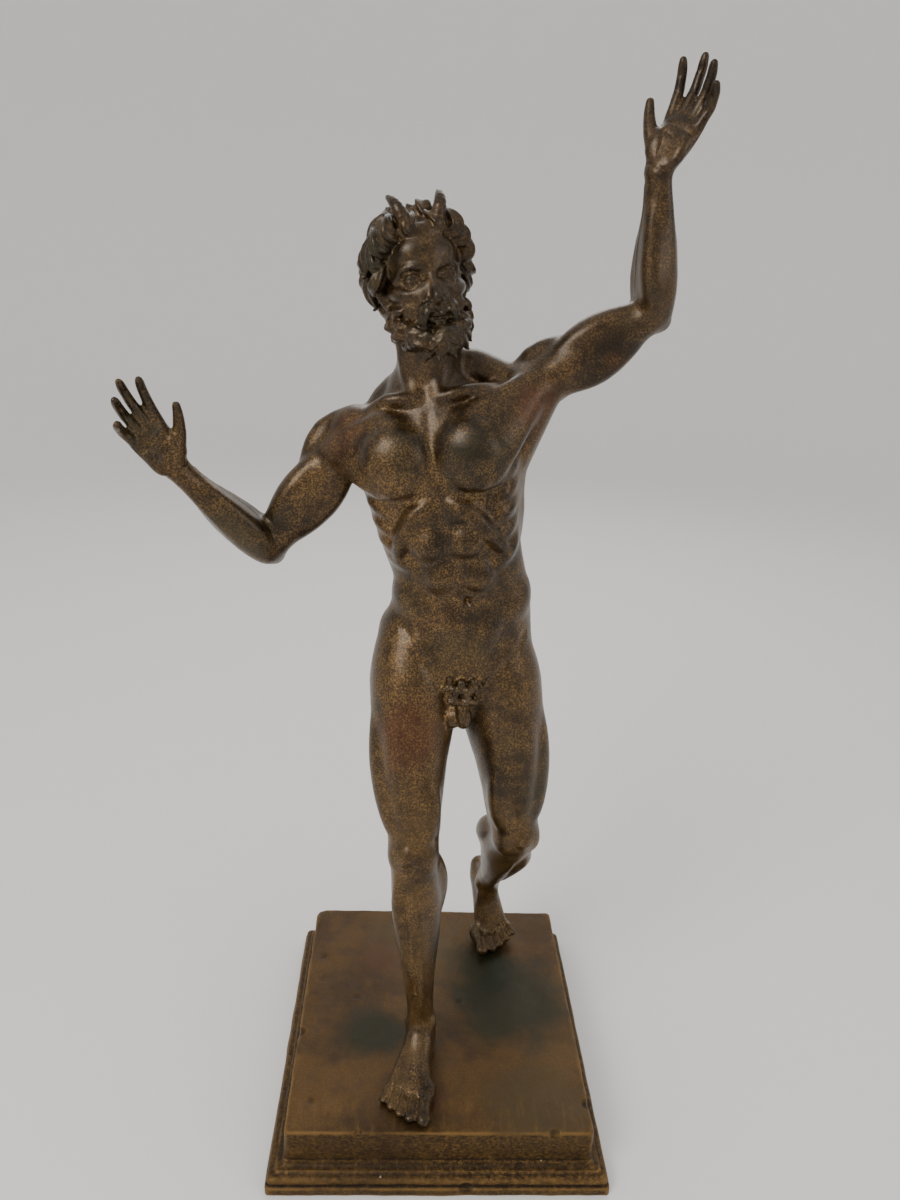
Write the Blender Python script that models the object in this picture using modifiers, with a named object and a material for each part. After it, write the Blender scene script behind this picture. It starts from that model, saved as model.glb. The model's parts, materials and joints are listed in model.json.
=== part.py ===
# A bronze dancing faun on a moulded plinth, for Blender 4.5.
# Metres, +Z up. The origin is the centre of the plinth's underside, and the faun faces -Y.

import math
import random

import bmesh
import bpy
import numpy as np
from mathutils import Matrix, Vector
from mathutils.bvhtree import BVHTree

# Plinth, in metres
SLAB_WIDTH = 0.229
SLAB_DEPTH = 0.2535
SLAB_HEIGHT = 0.026
SLAB_CORNER = 0.0035
BASE_OVERHANG = 0.013
FASCIA_HEIGHT = 0.0065
TORUS_HEIGHT = 0.0075
COVE_HEIGHT = 0.006
PLINTH_HEIGHT = FASCIA_HEIGHT + TORUS_HEIGHT + COVE_HEIGHT + SLAB_HEIGHT
FOOT_GAP = 0.0003
SOLE_CUT = 0.0008

# Figure, in metres from sole to crown if it stood upright
FIGURE_HEIGHT = 0.640
# The figure is laid out in the centimetres of a man 180 cm tall.
CM = FIGURE_HEIGHT / 180

# How finely the forms are fused, in metres, and how many faces the casting keeps
MASS_VOXEL = 0.0034
MUSCLE_VOXEL = 0.0026
DETAIL_VOXEL = 0.0016
FIGURE_TRIANGLES = 9000

LEFT, RIGHT = 1, -1
UP = Vector((0, 0, 1))
FORWARD = Vector((0, -1, 0))

BRONZE = (0.125, 0.072, 0.032, 1)
PLINTH_BRONZE = (0.150, 0.078, 0.034, 1)


# Small helpers

def blend(a, b, share):
    return a + (b - a) * share


def smooth_step(low, high, value):
    share = min(1, max(0, (value - low) / (high - low)))
    return share * share * (3 - 2 * share)


def curve_through(rows, steps):
    """Rows of numbers or vectors, joined by a Catmull-Rom curve with this many steps a span."""
    made = []
    last = len(rows) - 1
    for i in range(last):
        before, here = rows[max(i - 1, 0)], rows[i]
        there, after = rows[i + 1], rows[min(i + 2, last)]
        for k in range(steps):
            t = k / steps
            made.append(0.5 * (
                2 * here + (there - before) * t
                + (2 * before - 5 * here + 4 * there - after) * t ** 2
                + (3 * here - before - 3 * there + after) * t ** 3))
    made.append(rows[last])
    return made


class Form:
    """A mesh that gathers closed shapes, which are fused afterwards."""

    def __init__(self):
        self.bm = bmesh.new()

    def rings(self, rings, start, end):
        """A closed skin over rings of points, with a pole at each end."""
        loops = [[self.bm.verts.new(p) for p in ring] for ring in rings]
        for low, high in zip(loops, loops[1:]):
            for i in range(len(low)):
                j = (i + 1) % len(low)
                self.bm.faces.new((low[i], low[j], high[j], high[i]))
        for loop, pole, turn in ((loops[0], start, True), (loops[-1], end, False)):
            tip = self.bm.verts.new(pole)
            for i in range(len(loop)):
                j = (i + 1) % len(loop)
                self.bm.faces.new((loop[j], loop[i], tip) if turn else (loop[i], loop[j], tip))

    def sweep(self, points, widths, depths, fronts, steps=4, sides=14):
        """An oval tube along points, with round ends. Depth runs along the fronts, in metres."""
        if isinstance(fronts, Vector):
            fronts = [fronts] * len(points)
        path = curve_through(points, steps)
        wide = curve_through(widths, steps)
        deep = curve_through(depths, steps)
        faces = curve_through(fronts, steps)
        rings = []
        last = len(path) - 1
        for i, point in enumerate(path):
            along = (path[min(i + 1, last)] - path[max(i - 1, 0)]).normalized()
            front = (faces[i] - along * faces[i].dot(along)).normalized()
            side = front.cross(along)
            reach = min(wide[i], deep[i])
            turns = (0,)
            if i in (0, last):
                turns = (60, 30, 0) if i == 0 else (0, 30, 60)
            for turn in turns:
                away = math.sin(math.radians(turn)) * reach * (-1 if i == 0 else 1)
                shrink = math.cos(math.radians(turn))
                rings.append([
                    point + along * away
                    + side * (wide[i] * shrink * math.cos(2 * math.pi * k / sides))
                    + front * (deep[i] * shrink * math.sin(2 * math.pi * k / sides))
                    for k in range(sides)])
            if i == 0:
                start = point - along * reach
            if i == last:
                end = point + along * reach
        self.rings([ring[::-1] for ring in rings], start, end)

    def spindle(self, points, width, depth, front, ends=0.3, sides=12):
        """A muscle belly through points, full in the middle and thin at both ends."""
        spine = curve_through(points, 3) if len(points) < 4 else points
        last = len(spine) - 1
        swell = [ends + (1 - ends) * math.sin(math.pi * i / last) ** 0.8 for i in range(last + 1)]
        self.sweep(spine, [width * s for s in swell], [depth * s for s in swell],
                   front, steps=1, sides=sides)

    def ball(self, centre, radii, axes=None):
        """An ellipsoid. The axes are three unit vectors, or none for the world's."""
        frame = Matrix(axes).transposed() if axes else Matrix.Identity(3)
        place = Matrix.Translation(centre) @ frame.to_4x4() @ Matrix.Diagonal((*radii, 1))
        made = bmesh.ops.create_uvsphere(self.bm, u_segments=14, v_segments=9, radius=1, matrix=place)
        if frame.determinant() < 0:
            faces = {face for vert in made["verts"] for face in vert.link_faces}
            bmesh.ops.reverse_faces(self.bm, faces=list(faces))

    def add_mesh(self, mesh):
        self.bm.from_mesh(mesh)

    def fused(self, voxel, smoothing):
        """The shapes as one skin, with the creases between them softened."""
        mesh = bpy.data.meshes.new("form")
        self.bm.to_mesh(mesh)
        self.bm.free()
        helper = bpy.data.objects.new("form", mesh)
        bpy.context.scene.collection.objects.link(helper)
        fuse = helper.modifiers.new("Fuse", "REMESH")
        fuse.mode = "VOXEL"
        fuse.voxel_size = voxel
        if smoothing:
            soften = helper.modifiers.new("Soften", "SMOOTH")
            soften.factor = 0.5
            soften.iterations = smoothing
        graph = bpy.context.evaluated_depsgraph_get()
        made = bpy.data.meshes.new_from_object(helper.evaluated_get(graph))
        bpy.data.objects.remove(helper)
        return made


class Skin:
    """A fused mesh, carved by pushing its points in or out along their normals."""

    def __init__(self, mesh):
        self.mesh = mesh
        self.points = np.empty(len(mesh.vertices) * 3)
        mesh.vertices.foreach_get("co", self.points)
        self.points = self.points.reshape(-1, 3)
        self.normals = np.empty_like(self.points).ravel()
        mesh.vertex_normals.foreach_get("vector", self.normals)
        self.normals = self.normals.reshape(-1, 3)
        self.moved = np.zeros(len(self.points))
        self.tree = BVHTree.FromPolygons([vert.co for vert in mesh.vertices],
                                         [tuple(face.vertices) for face in mesh.polygons])

    def land(self, point, way, reach=5):
        """Where a line through the point, from outside along the way, meets the skin."""
        hit = self.tree.ray_cast(point + way * reach * CM, -way, 2 * reach * CM)[0]
        return hit or point

    def press(self, points, width, depth):
        """A groove along points on the skin, width and depth in cm. A negative depth raises a ridge."""
        path = np.array(points)
        reach = width * CM
        near = np.all((self.points > path.min(0) - reach) & (self.points < path.max(0) + reach), axis=1)
        where = np.nonzero(near)[0]
        spots = self.points[where]
        best = np.full(len(spots), np.inf)
        if len(path) == 1:
            best = np.linalg.norm(spots - path[0], axis=1)
        for start, end in zip(path, path[1:]):
            line = end - start
            share = np.clip((spots - start) @ line / max(line @ line, 1e-12), 0, 1)
            best = np.minimum(best, np.linalg.norm(spots - start - share[:, None] * line, axis=1))
        self.moved[where] -= depth * CM * np.clip(1 - (best / reach) ** 2, 0, 1) ** 2

    def finish(self):
        self.points += self.normals * self.moved[:, None]
        self.mesh.vertices.foreach_set("co", self.points.ravel())
        self.mesh.update()


# Pose: the joints in centimetres, from the middle of the plinth's top

class Bone:
    """A limb segment. Places on it are a share along it, then out from the midline and forward, in cm."""

    def __init__(self, head, tail, front, hand):
        self.head, self.tail = head, tail
        self.length = (tail - head).length
        self.along = (tail - head).normalized()
        self.front = (front - self.along * front.dot(self.along)).normalized()
        self.out = self.front.cross(self.along) * hand

    def at(self, share, out=0, front=0):
        return (self.head.lerp(self.tail, share) + self.out * out + self.front * front) * CM

    def direction(self, out, front, along=0):
        return (self.out * out + self.front * front + self.along * along).normalized()


def middle_joint(top, end, upper, lower, towards):
    """Where a knee or an elbow lies between two joints, bent towards a direction."""
    line = end - top
    reach = min(line.length, (upper + lower) * 0.999)
    near = (upper ** 2 - lower ** 2 + reach ** 2) / (2 * reach)
    away = (towards - line.normalized() * towards.dot(line.normalized())).normalized()
    return top + line.normalized() * near + away * math.sqrt(max(0, upper ** 2 - near ** 2))


THIGH, SHANK = 43.0, 43.0

PELVIS = Vector((0.5, 1.5, 92.0))
PELVIS_SIDE = Vector((0.97, 0.18, -0.10)).normalized()
PELVIS_UP = (UP + Vector((0.08, 0.06, 0))).normalized()
CHEST = Vector((-3.4, 0.2, 127.5))
CHEST_SIDE = Vector((0.97, -0.13, 0.20)).normalized()
CHEST_UP = (UP + Vector((-0.17, 0.07, 0))).normalized()
PELVIS_LEVEL, CHEST_LEVEL = 93, 128

HIP_OUT = 9.0
HIPS = {RIGHT: PELVIS - PELVIS_SIDE * HIP_OUT, LEFT: PELVIS + PELVIS_SIDE * HIP_OUT}
ANKLES = {RIGHT: Vector((-4.2, -14.5, 8.6)), LEFT: Vector((13.5, 28.5, 15.8))}
KNEE_WAYS = {RIGHT: Vector((-0.20, -1, 0)), LEFT: Vector((0.26, -1, 0))}
SHOULDERS = {RIGHT: Vector((-20.6, 2.6, 137.6)), LEFT: Vector((12.4, 0.6, 147.2))}
ELBOWS = {RIGHT: Vector((-38.4, 1.2, 113.6)), LEFT: Vector((34.6, -1.0, 162.4))}
WRISTS = {RIGHT: Vector((-53.5, -8.0, 131.5)), LEFT: Vector((31.4, -5.4, 186.2))}
HAND_WAYS = {RIGHT: Vector((-0.50, -0.30, 0.80)), LEFT: Vector((0.40, 0.10, 0.80))}
PALM_WAYS = {RIGHT: Vector((0.20, -0.84, 0.50)), LEFT: Vector((-0.55, -0.72, 0.36))}
# Each finger's bends in degrees from the forefinger on, joint by joint
FINGER_BENDS = {RIGHT: ((10, 14, 10), (4, 16, 12), (10, 22, 14), (16, 26, 18)),
                LEFT: ((8, 18, 14), (2, 16, 12), (8, 22, 14), (14, 24, 18))}
FINGER_FANS = {RIGHT: (0.14, 0.03, -0.08, -0.20), LEFT: (0.16, 0.04, -0.09, -0.22)}
FOOT_WAYS = {RIGHT: Vector((-0.16, -1, 0)), LEFT: Vector((0.22, -1, 0))}
HEEL_LIFTS = {RIGHT: 0.0, LEFT: math.radians(44)}

HEAD = Vector((-8.8, -1.2, 165.4))
HEAD_UP = (UP + Vector((-0.20, 0.10, 0))).normalized()
HEAD_FRONT = Vector((0.24, -1, 0.03))


def torso_frame(level):
    """The centre and the side, front and up directions of the trunk at an upright man's level, in cm."""
    share = smooth_step(98, 122, level)
    low = PELVIS + PELVIS_UP * (level - PELVIS_LEVEL)
    high = CHEST + CHEST_UP * (level - CHEST_LEVEL)
    up = blend(PELVIS_UP, CHEST_UP, share).normalized()
    side = blend(PELVIS_SIDE, CHEST_SIDE, share)
    side = (side - up * side.dot(up)).normalized()
    return blend(low, high, share), side, up.cross(side) * -1, up


def torso(out, front, level, hand=LEFT):
    """A place on the trunk, in metres: out from the midline, forward, and up an upright man, in cm."""
    centre, side, ahead, _ = torso_frame(level)
    return (centre + side * out * hand + ahead * front) * CM


def torso_axes(level, hand=LEFT, roll=0, lean=0):
    """Side, front and up directions on the trunk, rolled outwards at the top and leaned forward."""
    _, side, ahead, up = torso_frame(level)
    side = side * hand
    turned = side * math.cos(roll) - up * math.sin(roll)
    risen = up * math.cos(roll) + side * math.sin(roll)
    pushed = ahead * math.cos(lean) - risen * math.sin(lean)
    return turned, pushed, risen * math.cos(lean) + ahead * math.sin(lean)


# Trunk

def trunk_mass(form):
    # level, half width, half depth, forward offset
    stations = (
        (83, 7.5, 6.5, -0.5),
        (87, 13.6, 9.2, -0.8),
        (92, 16.3, 10.2, -0.8),
        (98, 16.0, 10.1, -0.5),
        (103.5, 14.9, 9.4, -0.2),
        (108.5, 13.7, 8.9, 0.0),
        (113, 13.3, 8.9, 0.0),
        (119, 14.0, 9.6, -0.2),
        (126, 15.2, 10.8, -0.5),
        (133, 16.1, 11.3, -0.7),
        (139, 15.4, 10.7, -0.9),
        (144, 12.6, 9.0, -1.3),
        (147.5, 8.8, 7.2, -1.6),
    )
    fronts = [torso_frame(row[0])[2] for row in stations]
    form.sweep([torso(0, row[3], row[0]) for row in stations],
               [row[1] * CM for row in stations], [row[2] * CM for row in stations],
               fronts, steps=3, sides=24)


def neck_mass(form, skull):
    base = torso(0, -1.2, 146)
    top = skull.at(0, -1.8, -7)
    middle = base.lerp(top, 0.5) + FORWARD * 0.2 * CM
    form.sweep([base, middle, top], [7.0 * CM, 6.2 * CM, 6.2 * CM],
               [6.6 * CM, 6.2 * CM, 6.4 * CM], FORWARD)


def abdomen(form):
    # level, out, forward, half width, half height and how far each pad stands out
    pads = (
        (125.0, 3.2, 9.2, 3.2, 3.0, 1.8),
        (118.8, 3.5, 8.6, 3.6, 3.5, 2.0),
        (112.2, 3.5, 8.1, 3.6, 3.6, 2.0),
    )
    for hand in (LEFT, RIGHT):
        for level, out, front, wide, tall, deep in pads:
            form.ball(torso(out, front, level, hand), (wide * CM, deep * CM, tall * CM),
                      torso_axes(level, hand, lean=0.05))
        # The lower belly, the flank over the hip bone and the fold of the groin
        form.ball(torso(3.2, 7.6, 101.5, hand), (3.6 * CM, 2.4 * CM, 7.4 * CM),
                  torso_axes(101.5, hand, roll=0.14))
        form.spindle([torso(11.8, -4.0, 106.0, hand), torso(12.2, -0.5, 107.0, hand),
                      torso(11.4, 3.4, 106.4, hand), torso(9.0, 6.4, 104.6, hand)],
                     3.0 * CM, 4.8 * CM, torso_frame(106)[3], ends=0.6)
        form.spindle([torso(13.4, 1.5, 101.5, hand), torso(10.0, 6.6, 97.0, hand),
                      torso(5.2, 8.2, 90.5, hand)],
                     2.2 * CM, 1.5 * CM, torso_frame(98)[2])
        # Ribs' lower edge, then the toothed slips of muscle beside them
        form.spindle([torso(1.6, 10.2, 128.2, hand), torso(5.2, 9.9, 124.6, hand),
                      torso(8.6, 8.6, 119.8, hand), torso(11.2, 6.0, 115.0, hand)],
                     1.7 * CM, 1.5 * CM, torso_axes(122, hand, roll=0)[1])
        for step in range(5):
            level = 131.5 - 3.8 * step
            lean = torso_axes(level, hand)[0]
            form.spindle([torso(14.9 - 0.5 * step, 0.2, level + 2.2, hand),
                          torso(13.8 - 0.6 * step, 4.4, level, hand),
                          torso(11.0 - 0.6 * step, 7.6, level - 2.6, hand)],
                         1.55 * CM, 1.5 * CM, lean)


def chest_and_back(form, arms):
    for hand in (LEFT, RIGHT):
        arm = arms[hand]
        raised = arm.along.dot(UP) > 0
        # Breast muscle, as a fan from the breastbone and collarbone to the arm
        hold = arm.at(0.22, -1.2, 3.2 if not raised else 1.6)
        for level, out, front, wide, deep in (
                (141.0, 4.6, 8.0, 3.0, 2.0), (137.0, 3.8, 9.8, 3.3, 2.6),
                (133.0, 3.8, 10.6, 3.2, 2.7), (130.2, 4.8, 10.3, 2.5, 2.3)):
            root = torso(out, front - 0.4, level, hand)
            belly = torso(out + 5.4, front - 0.6, level + 0.8, hand)
            form.spindle([root, root.lerp(belly, 0.5) + torso_axes(level)[1] * 0.9 * CM, belly,
                          belly.lerp(hold, 0.55), hold],
                         wide * CM, deep * CM, torso_axes(level, hand)[1], ends=0.5)
        form.ball(torso(7.4, 9.2, 132.8, hand), (5.4 * CM, 3.3 * CM, 4.4 * CM),
                  torso_axes(132, hand, roll=-0.25))
        # Collarbone
        form.spindle([torso(1.6, 6.6, 145.6, hand), torso(7.5, 6.4, 146.6, hand),
                      arm.at(-0.03, 0.5, 1.0)],
                     1.15 * CM, 1.15 * CM, UP, ends=0.75)
        # Shoulder blade with its ridge, broad back muscle and spine muscles
        form.ball(torso(8.8, -8.6, 134.0, hand), (4.6 * CM, 2.2 * CM, 6.6 * CM),
                  torso_axes(136, hand, roll=0.45 if raised else 0.2))
        form.ball(torso(6.4, -8.8, 138.5, hand), (3.6 * CM, 2.2 * CM, 5.0 * CM),
                  torso_axes(136, hand, roll=0.2))
        form.spindle([torso(4.4, -9.8, 139.0, hand), torso(9.4, -9.6, 141.5, hand),
                      arm.at(-0.05, 1.0, -3.4)],
                     1.6 * CM, 1.3 * CM, UP, ends=0.7)
        form.spindle([torso(4.5, -5.6, 106, hand), torso(8.6, -5.2, 114, hand),
                      torso(11.0, -4.0, 122, hand), torso(13.0, -3.2, 131, hand),
                      arm.at(0.12, -1.6, -1.5)],
                     5.8 * CM, 4.2 * CM, torso_axes(122, hand)[0], ends=0.6)
        form.spindle([torso(3.2, -7.0, 95, hand), torso(3.2, -7.6, 103, hand),
                      torso(3.3, -7.9, 110, hand), torso(3.3, -9.2, 120, hand),
                      torso(3.0, -9.4, 130, hand), torso(2.8, -8.8, 138, hand)],
                     2.8 * CM, 2.1 * CM, torso_axes(110)[1], ends=0.5)
        # Slope from the neck to the shoulder
        form.spindle([torso(2.4, -3.8, 152, hand), torso(5.4, -4.0, 149.2, hand),
                      torso(9.4, -3.4, 146.4, hand), arm.at(-0.06, 0.6, -1.5)],
                     3.8 * CM, 3.0 * CM, UP, ends=0.7)
        form.spindle([torso(1.8, -6.2, 151, hand), torso(2.6, -8.2, 144, hand),
                      torso(2.2, -9.6, 134, hand), torso(1.2, -9.4, 124, hand)],
                     3.2 * CM, 1.7 * CM, torso_axes(140)[1], ends=0.6)
        # Shoulder cap
        caps = ((3.4, 3.3), (0.4, 4.2), (-3.0, 3.2))
        for forward, wide in caps:
            form.spindle([arm.at(-0.09, 0.8, forward * 0.8), arm.at(0.12, 3.4, forward * 1.05),
                          arm.at(0.32, 2.8, forward * 0.75), arm.at(0.50, 2.2, forward * 0.2)],
                         wide * CM, 2.5 * CM, arm.out, ends=0.45)
        form.ball(arm.at(0.0), (5.4 * CM, 5.4 * CM, 5.4 * CM))
    form.spindle([torso(0, 9.8, 141), torso(0, 10.6, 134), torso(0, 10.4, 128.5)],
                 1.4 * CM, 0.9 * CM, torso_axes(134)[1])


def seat(form, legs):
    for hand in (LEFT, RIGHT):
        thigh = legs[hand][0]
        form.ball(torso(7.2, -7.2, 91.5, hand), (7.4 * CM, 6.4 * CM, 7.8 * CM),
                  torso_axes(91, hand, roll=-0.2))
        form.ball(torso(11.0, -1.6, 97, hand), (5.4 * CM, 7.0 * CM, 6.8 * CM),
                  torso_axes(97, hand, roll=-0.15))
        form.spindle([thigh.at(-0.12, 5.6, -1.5), thigh.at(0.08, 6.2, -1.0),
                      thigh.at(0.28, 5.6, -0.5), thigh.at(0.5, 4.4, 0.0)],
                     3.0 * CM, 5.4 * CM, thigh.front, ends=0.5)
    # The short tail of a faun, curling off the small of the back
    form.sweep([torso(0, -8.8, 99.0), torso(0.2, -12.0, 100.2), torso(0.6, -14.8, 98.4),
                torso(0.9, -15.6, 94.6), torso(0.5, -14.6, 91.0), torso(-0.2, -13.8, 88.6)],
               [1.6 * CM, 1.7 * CM, 2.0 * CM, 2.1 * CM, 1.6 * CM, 0.6 * CM],
               [1.4 * CM, 1.4 * CM, 1.7 * CM, 1.8 * CM, 1.3 * CM, 0.5 * CM], UP)


def groin(form):
    form.ball(torso(0, 6.8, 87.0), (4.8 * CM, 3.2 * CM, 3.6 * CM), torso_axes(87))
    for hand in (LEFT, RIGHT):
        form.ball(torso(1.25, 8.4, 81.8, hand), (1.75 * CM, 2.0 * CM, 2.5 * CM), torso_axes(81, hand))
    form.sweep([torso(0, 8.6, 86.2), torso(0, 10.3, 84.6), torso(0.2, 10.9, 82.0)],
               [1.2 * CM, 1.2 * CM, 0.85 * CM], [1.2 * CM, 1.15 * CM, 0.85 * CM], FORWARD)
    for row in range(3):
        count = 6 - row
        for k in range(count):
            out = (k - (count - 1) / 2) * 1.35
            form.ball(torso(out, 9.7 - 0.10 * out ** 2 - 0.1 * row, 89.6 - 1.4 * row),
                      (0.85 * CM, 0.75 * CM, 0.85 * CM))


# Legs

def leg_mass(form, thigh, shank):
    thigh_rows = ((-0.06, 7.8, 8.6, 0.0, -0.6), (0.10, 8.9, 9.6, 0.3, -0.4),
                  (0.28, 8.6, 9.3, 0.4, 0.0), (0.48, 7.7, 8.4, 0.3, 0.3),
                  (0.68, 6.6, 7.1, 0.1, 0.3), (0.86, 5.6, 6.0, 0.0, 0.1), (1.0, 5.3, 5.6, 0.0, 0.2))
    form.sweep([thigh.at(s, out, front) for s, _, _, out, front in thigh_rows],
               [row[1] * CM for row in thigh_rows], [row[2] * CM for row in thigh_rows],
               thigh.front, sides=18)
    shank_rows = ((0.0, 5.2, 5.5, 0.0, 0.1), (0.12, 5.1, 5.5, 0.0, -0.4),
                  (0.30, 5.4, 5.8, 0.0, -1.0), (0.45, 4.9, 5.3, 0.0, -0.9),
                  (0.65, 3.8, 4.2, 0.0, -0.5), (0.84, 3.0, 3.5, 0.0, -0.3), (1.0, 3.1, 3.6, 0.0, 0.0))
    form.sweep([shank.at(s, out, front) for s, _, _, out, front in shank_rows],
               [row[1] * CM for row in shank_rows], [row[2] * CM for row in shank_rows],
               shank.front, sides=16)


def leg_muscles(form, thigh, shank):
    # Thigh: share, out and forward of each belly, with its half width and half depth
    bellies = (
        (((0.05, 1.0, 5.5), (0.35, 1.6, 7.0), (0.65, 0.9, 5.6), (0.88, 0.2, 4.6)), 3.3, 2.6),
        (((0.12, 5.5, 2.5), (0.42, 5.4, 3.6), (0.70, 4.2, 3.6), (0.90, 3.0, 3.4)), 3.6, 3.1),
        (((0.42, -3.0, 4.6), (0.66, -3.6, 4.2), (0.82, -3.6, 3.6), (0.95, -2.6, 3.2)), 2.9, 2.6),
        (((0.00, -4.4, 1.5), (0.20, -5.4, 0.6), (0.42, -4.6, -0.5), (0.68, -3.6, -1.0)), 3.6, 4.4),
        (((0.02, -1.0, -6.8), (0.30, -2.2, -7.2), (0.60, -2.4, -5.6), (0.98, -3.6, -3.8)), 3.0, 2.6),
        (((0.02, 2.6, -6.4), (0.30, 3.0, -6.6), (0.62, 3.2, -5.0), (1.00, 3.8, -3.6)), 3.0, 2.6),
    )
    for places, wide, deep in bellies:
        form.spindle(curve_through([thigh.at(*p) for p in places], 3),
                     wide * CM, deep * CM, thigh.front, ends=0.35)
    form.ball(thigh.at(0.985, 0.1, 4.9), (2.3 * CM, 1.4 * CM, 2.7 * CM),
              (thigh.out, thigh.front, thigh.along))
    for out in (2.8, -3.0):
        form.ball(thigh.at(1.0, out, 0.6), (2.5 * CM, 4.3 * CM, 4.4 * CM),
                  (thigh.out, thigh.front, thigh.along))
    # Shank: the two heads of the calf, the muscle beside the shin, the shin and the heel cord
    bellies = (
        (((0.02, -2.4, -3.4), (0.16, -3.2, -4.6), (0.30, -2.9, -4.9), (0.48, -1.8, -3.9)), 3.1, 3.0),
        (((0.02, 2.6, -3.4), (0.14, 3.0, -4.4), (0.26, 2.8, -4.6), (0.42, 1.8, -3.9)), 2.8, 2.8),
        (((0.06, 2.2, 3.4), (0.24, 2.7, 3.5), (0.46, 1.8, 3.0), (0.74, 0.6, 2.6)), 1.9, 2.2),
        (((0.20, 4.0, -0.6), (0.40, 3.6, -0.8), (0.62, 2.6, -1.2), (0.90, 2.4, -1.6)), 1.8, 2.2),
        (((0.05, 0.0, 4.8), (0.30, -1.2, 4.2), (0.60, -1.2, 3.2), (0.92, -0.8, 2.8)), 1.3, 1.3),
    )
    for places, wide, deep in bellies:
        form.spindle(curve_through([shank.at(*p) for p in places], 3),
                     wide * CM, deep * CM, shank.front, ends=0.35)
    form.sweep([shank.at(0.45, 0, -4.4), shank.at(0.75, 0, -4.0), shank.at(1.0, 0, -4.4),
                shank.at(1.08, 0, -4.8)],
               [2.0 * CM, 1.0 * CM, 1.1 * CM, 1.5 * CM], [1.6 * CM, 1.1 * CM, 1.1 * CM, 1.3 * CM],
               shank.front)
    form.ball(shank.at(1.0, 2.9, -0.4), (1.3 * CM, 1.7 * CM, 2.0 * CM),
              (shank.out, shank.front, shank.along))
    form.ball(shank.at(0.97, -2.9, 0.4), (1.3 * CM, 1.8 * CM, 2.1 * CM),
              (shank.out, shank.front, shank.along))


def foot(form, ankle, toe_way, pitch, hand):
    """A foot from its ankle. Pitch is how far the heel is raised, in radians."""
    flat = Vector((toe_way.x, toe_way.y, 0)).normalized()
    ahead = flat * math.cos(pitch) - UP * math.sin(pitch)
    rise = UP * math.cos(pitch) + flat * math.sin(pitch)
    out = flat.cross(UP) * -hand

    def at(forward, outward, up):
        return (ankle + ahead * forward + out * outward + rise * up) * CM

    # Sole level is 8.6 below the ankle. Rows: forward, out, up, half width, half height
    rows = ((-5.2, 0.0, -5.6, 2.6, 2.6), (-3.0, 0.0, -5.2, 3.2, 3.4), (0.0, 0.0, -4.2, 3.3, 4.4),
            (3.6, 0.1, -4.6, 3.5, 3.9), (7.4, 0.4, -5.7, 4.1, 2.9), (11.2, 0.6, -6.6, 4.7, 2.0),
            (13.6, 0.6, -7.0, 4.7, 1.6))
    form.sweep([at(f, o, u) for f, o, u, _, _ in rows], [row[3] * CM for row in rows],
               [row[4] * CM for row in rows], rise, sides=16)
    form.spindle([at(1.0, -0.6, -0.6), at(5.0, -0.9, -2.4), at(10.0, -1.6, -4.8)],
                 1.7 * CM, 1.3 * CM, rise, ends=0.6)
    form.ball(at(12.2, -3.2, -6.5), (2.3 * CM, 2.9 * CM, 2.0 * CM), (out, ahead, rise))
    # Toes: out, length, thickness, then how far forward each begins
    toes = ((-3.1, 6.6, 1.45, 13.2), (-0.6, 6.4, 1.02, 13.5), (1.3, 5.4, 0.98, 13.0),
            (3.0, 4.5, 0.92, 12.2), (4.5, 3.7, 0.90, 11.2))
    for place, length, thick, forward in toes:
        root = at(forward, place, -8.6 + thick)
        tip_out = out * (0.05 * place)
        knuckle = root + (flat * length * 0.45 + UP * thick * 0.55 + tip_out) * CM
        tip = root + (flat * length * 0.92 + tip_out * 2 - UP * 0.05) * CM
        form.sweep([root, knuckle, tip], [thick * 0.95 * CM, thick * 0.9 * CM, thick * CM],
                   [thick * 1.0 * CM, thick * 0.9 * CM, thick * 0.85 * CM], UP, sides=10)


# Arms and hands

def arm_mass(form, upper, lower, palm):
    rows = ((-0.02, 4.6, 4.8), (0.2, 4.5, 4.9), (0.45, 4.1, 4.7), (0.7, 3.8, 4.2),
            (0.9, 3.8, 3.4), (1.0, 3.9, 3.2))
    form.sweep([upper.at(r[0]) for r in rows], [r[1] * CM for r in rows],
               [r[2] * CM for r in rows], upper.front, sides=14)
    rows = ((0.0, 3.8, 3.3), (0.18, 4.3, 3.9), (0.38, 4.0, 3.7), (0.6, 3.3, 3.1),
            (0.82, 2.7, 2.3), (1.0, 2.8, 2.0))
    # The wrist is turned so that its flat side is the palm's.
    flat = (palm - lower.along * palm.dot(lower.along)).normalized()
    fronts = [lower.front.lerp(flat, smooth_step(0.2, 0.95, r[0])).normalized() for r in rows]
    form.sweep([lower.at(r[0]) for r in rows], [r[1] * CM for r in rows],
               [r[2] * CM for r in rows], fronts, sides=14)


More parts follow.
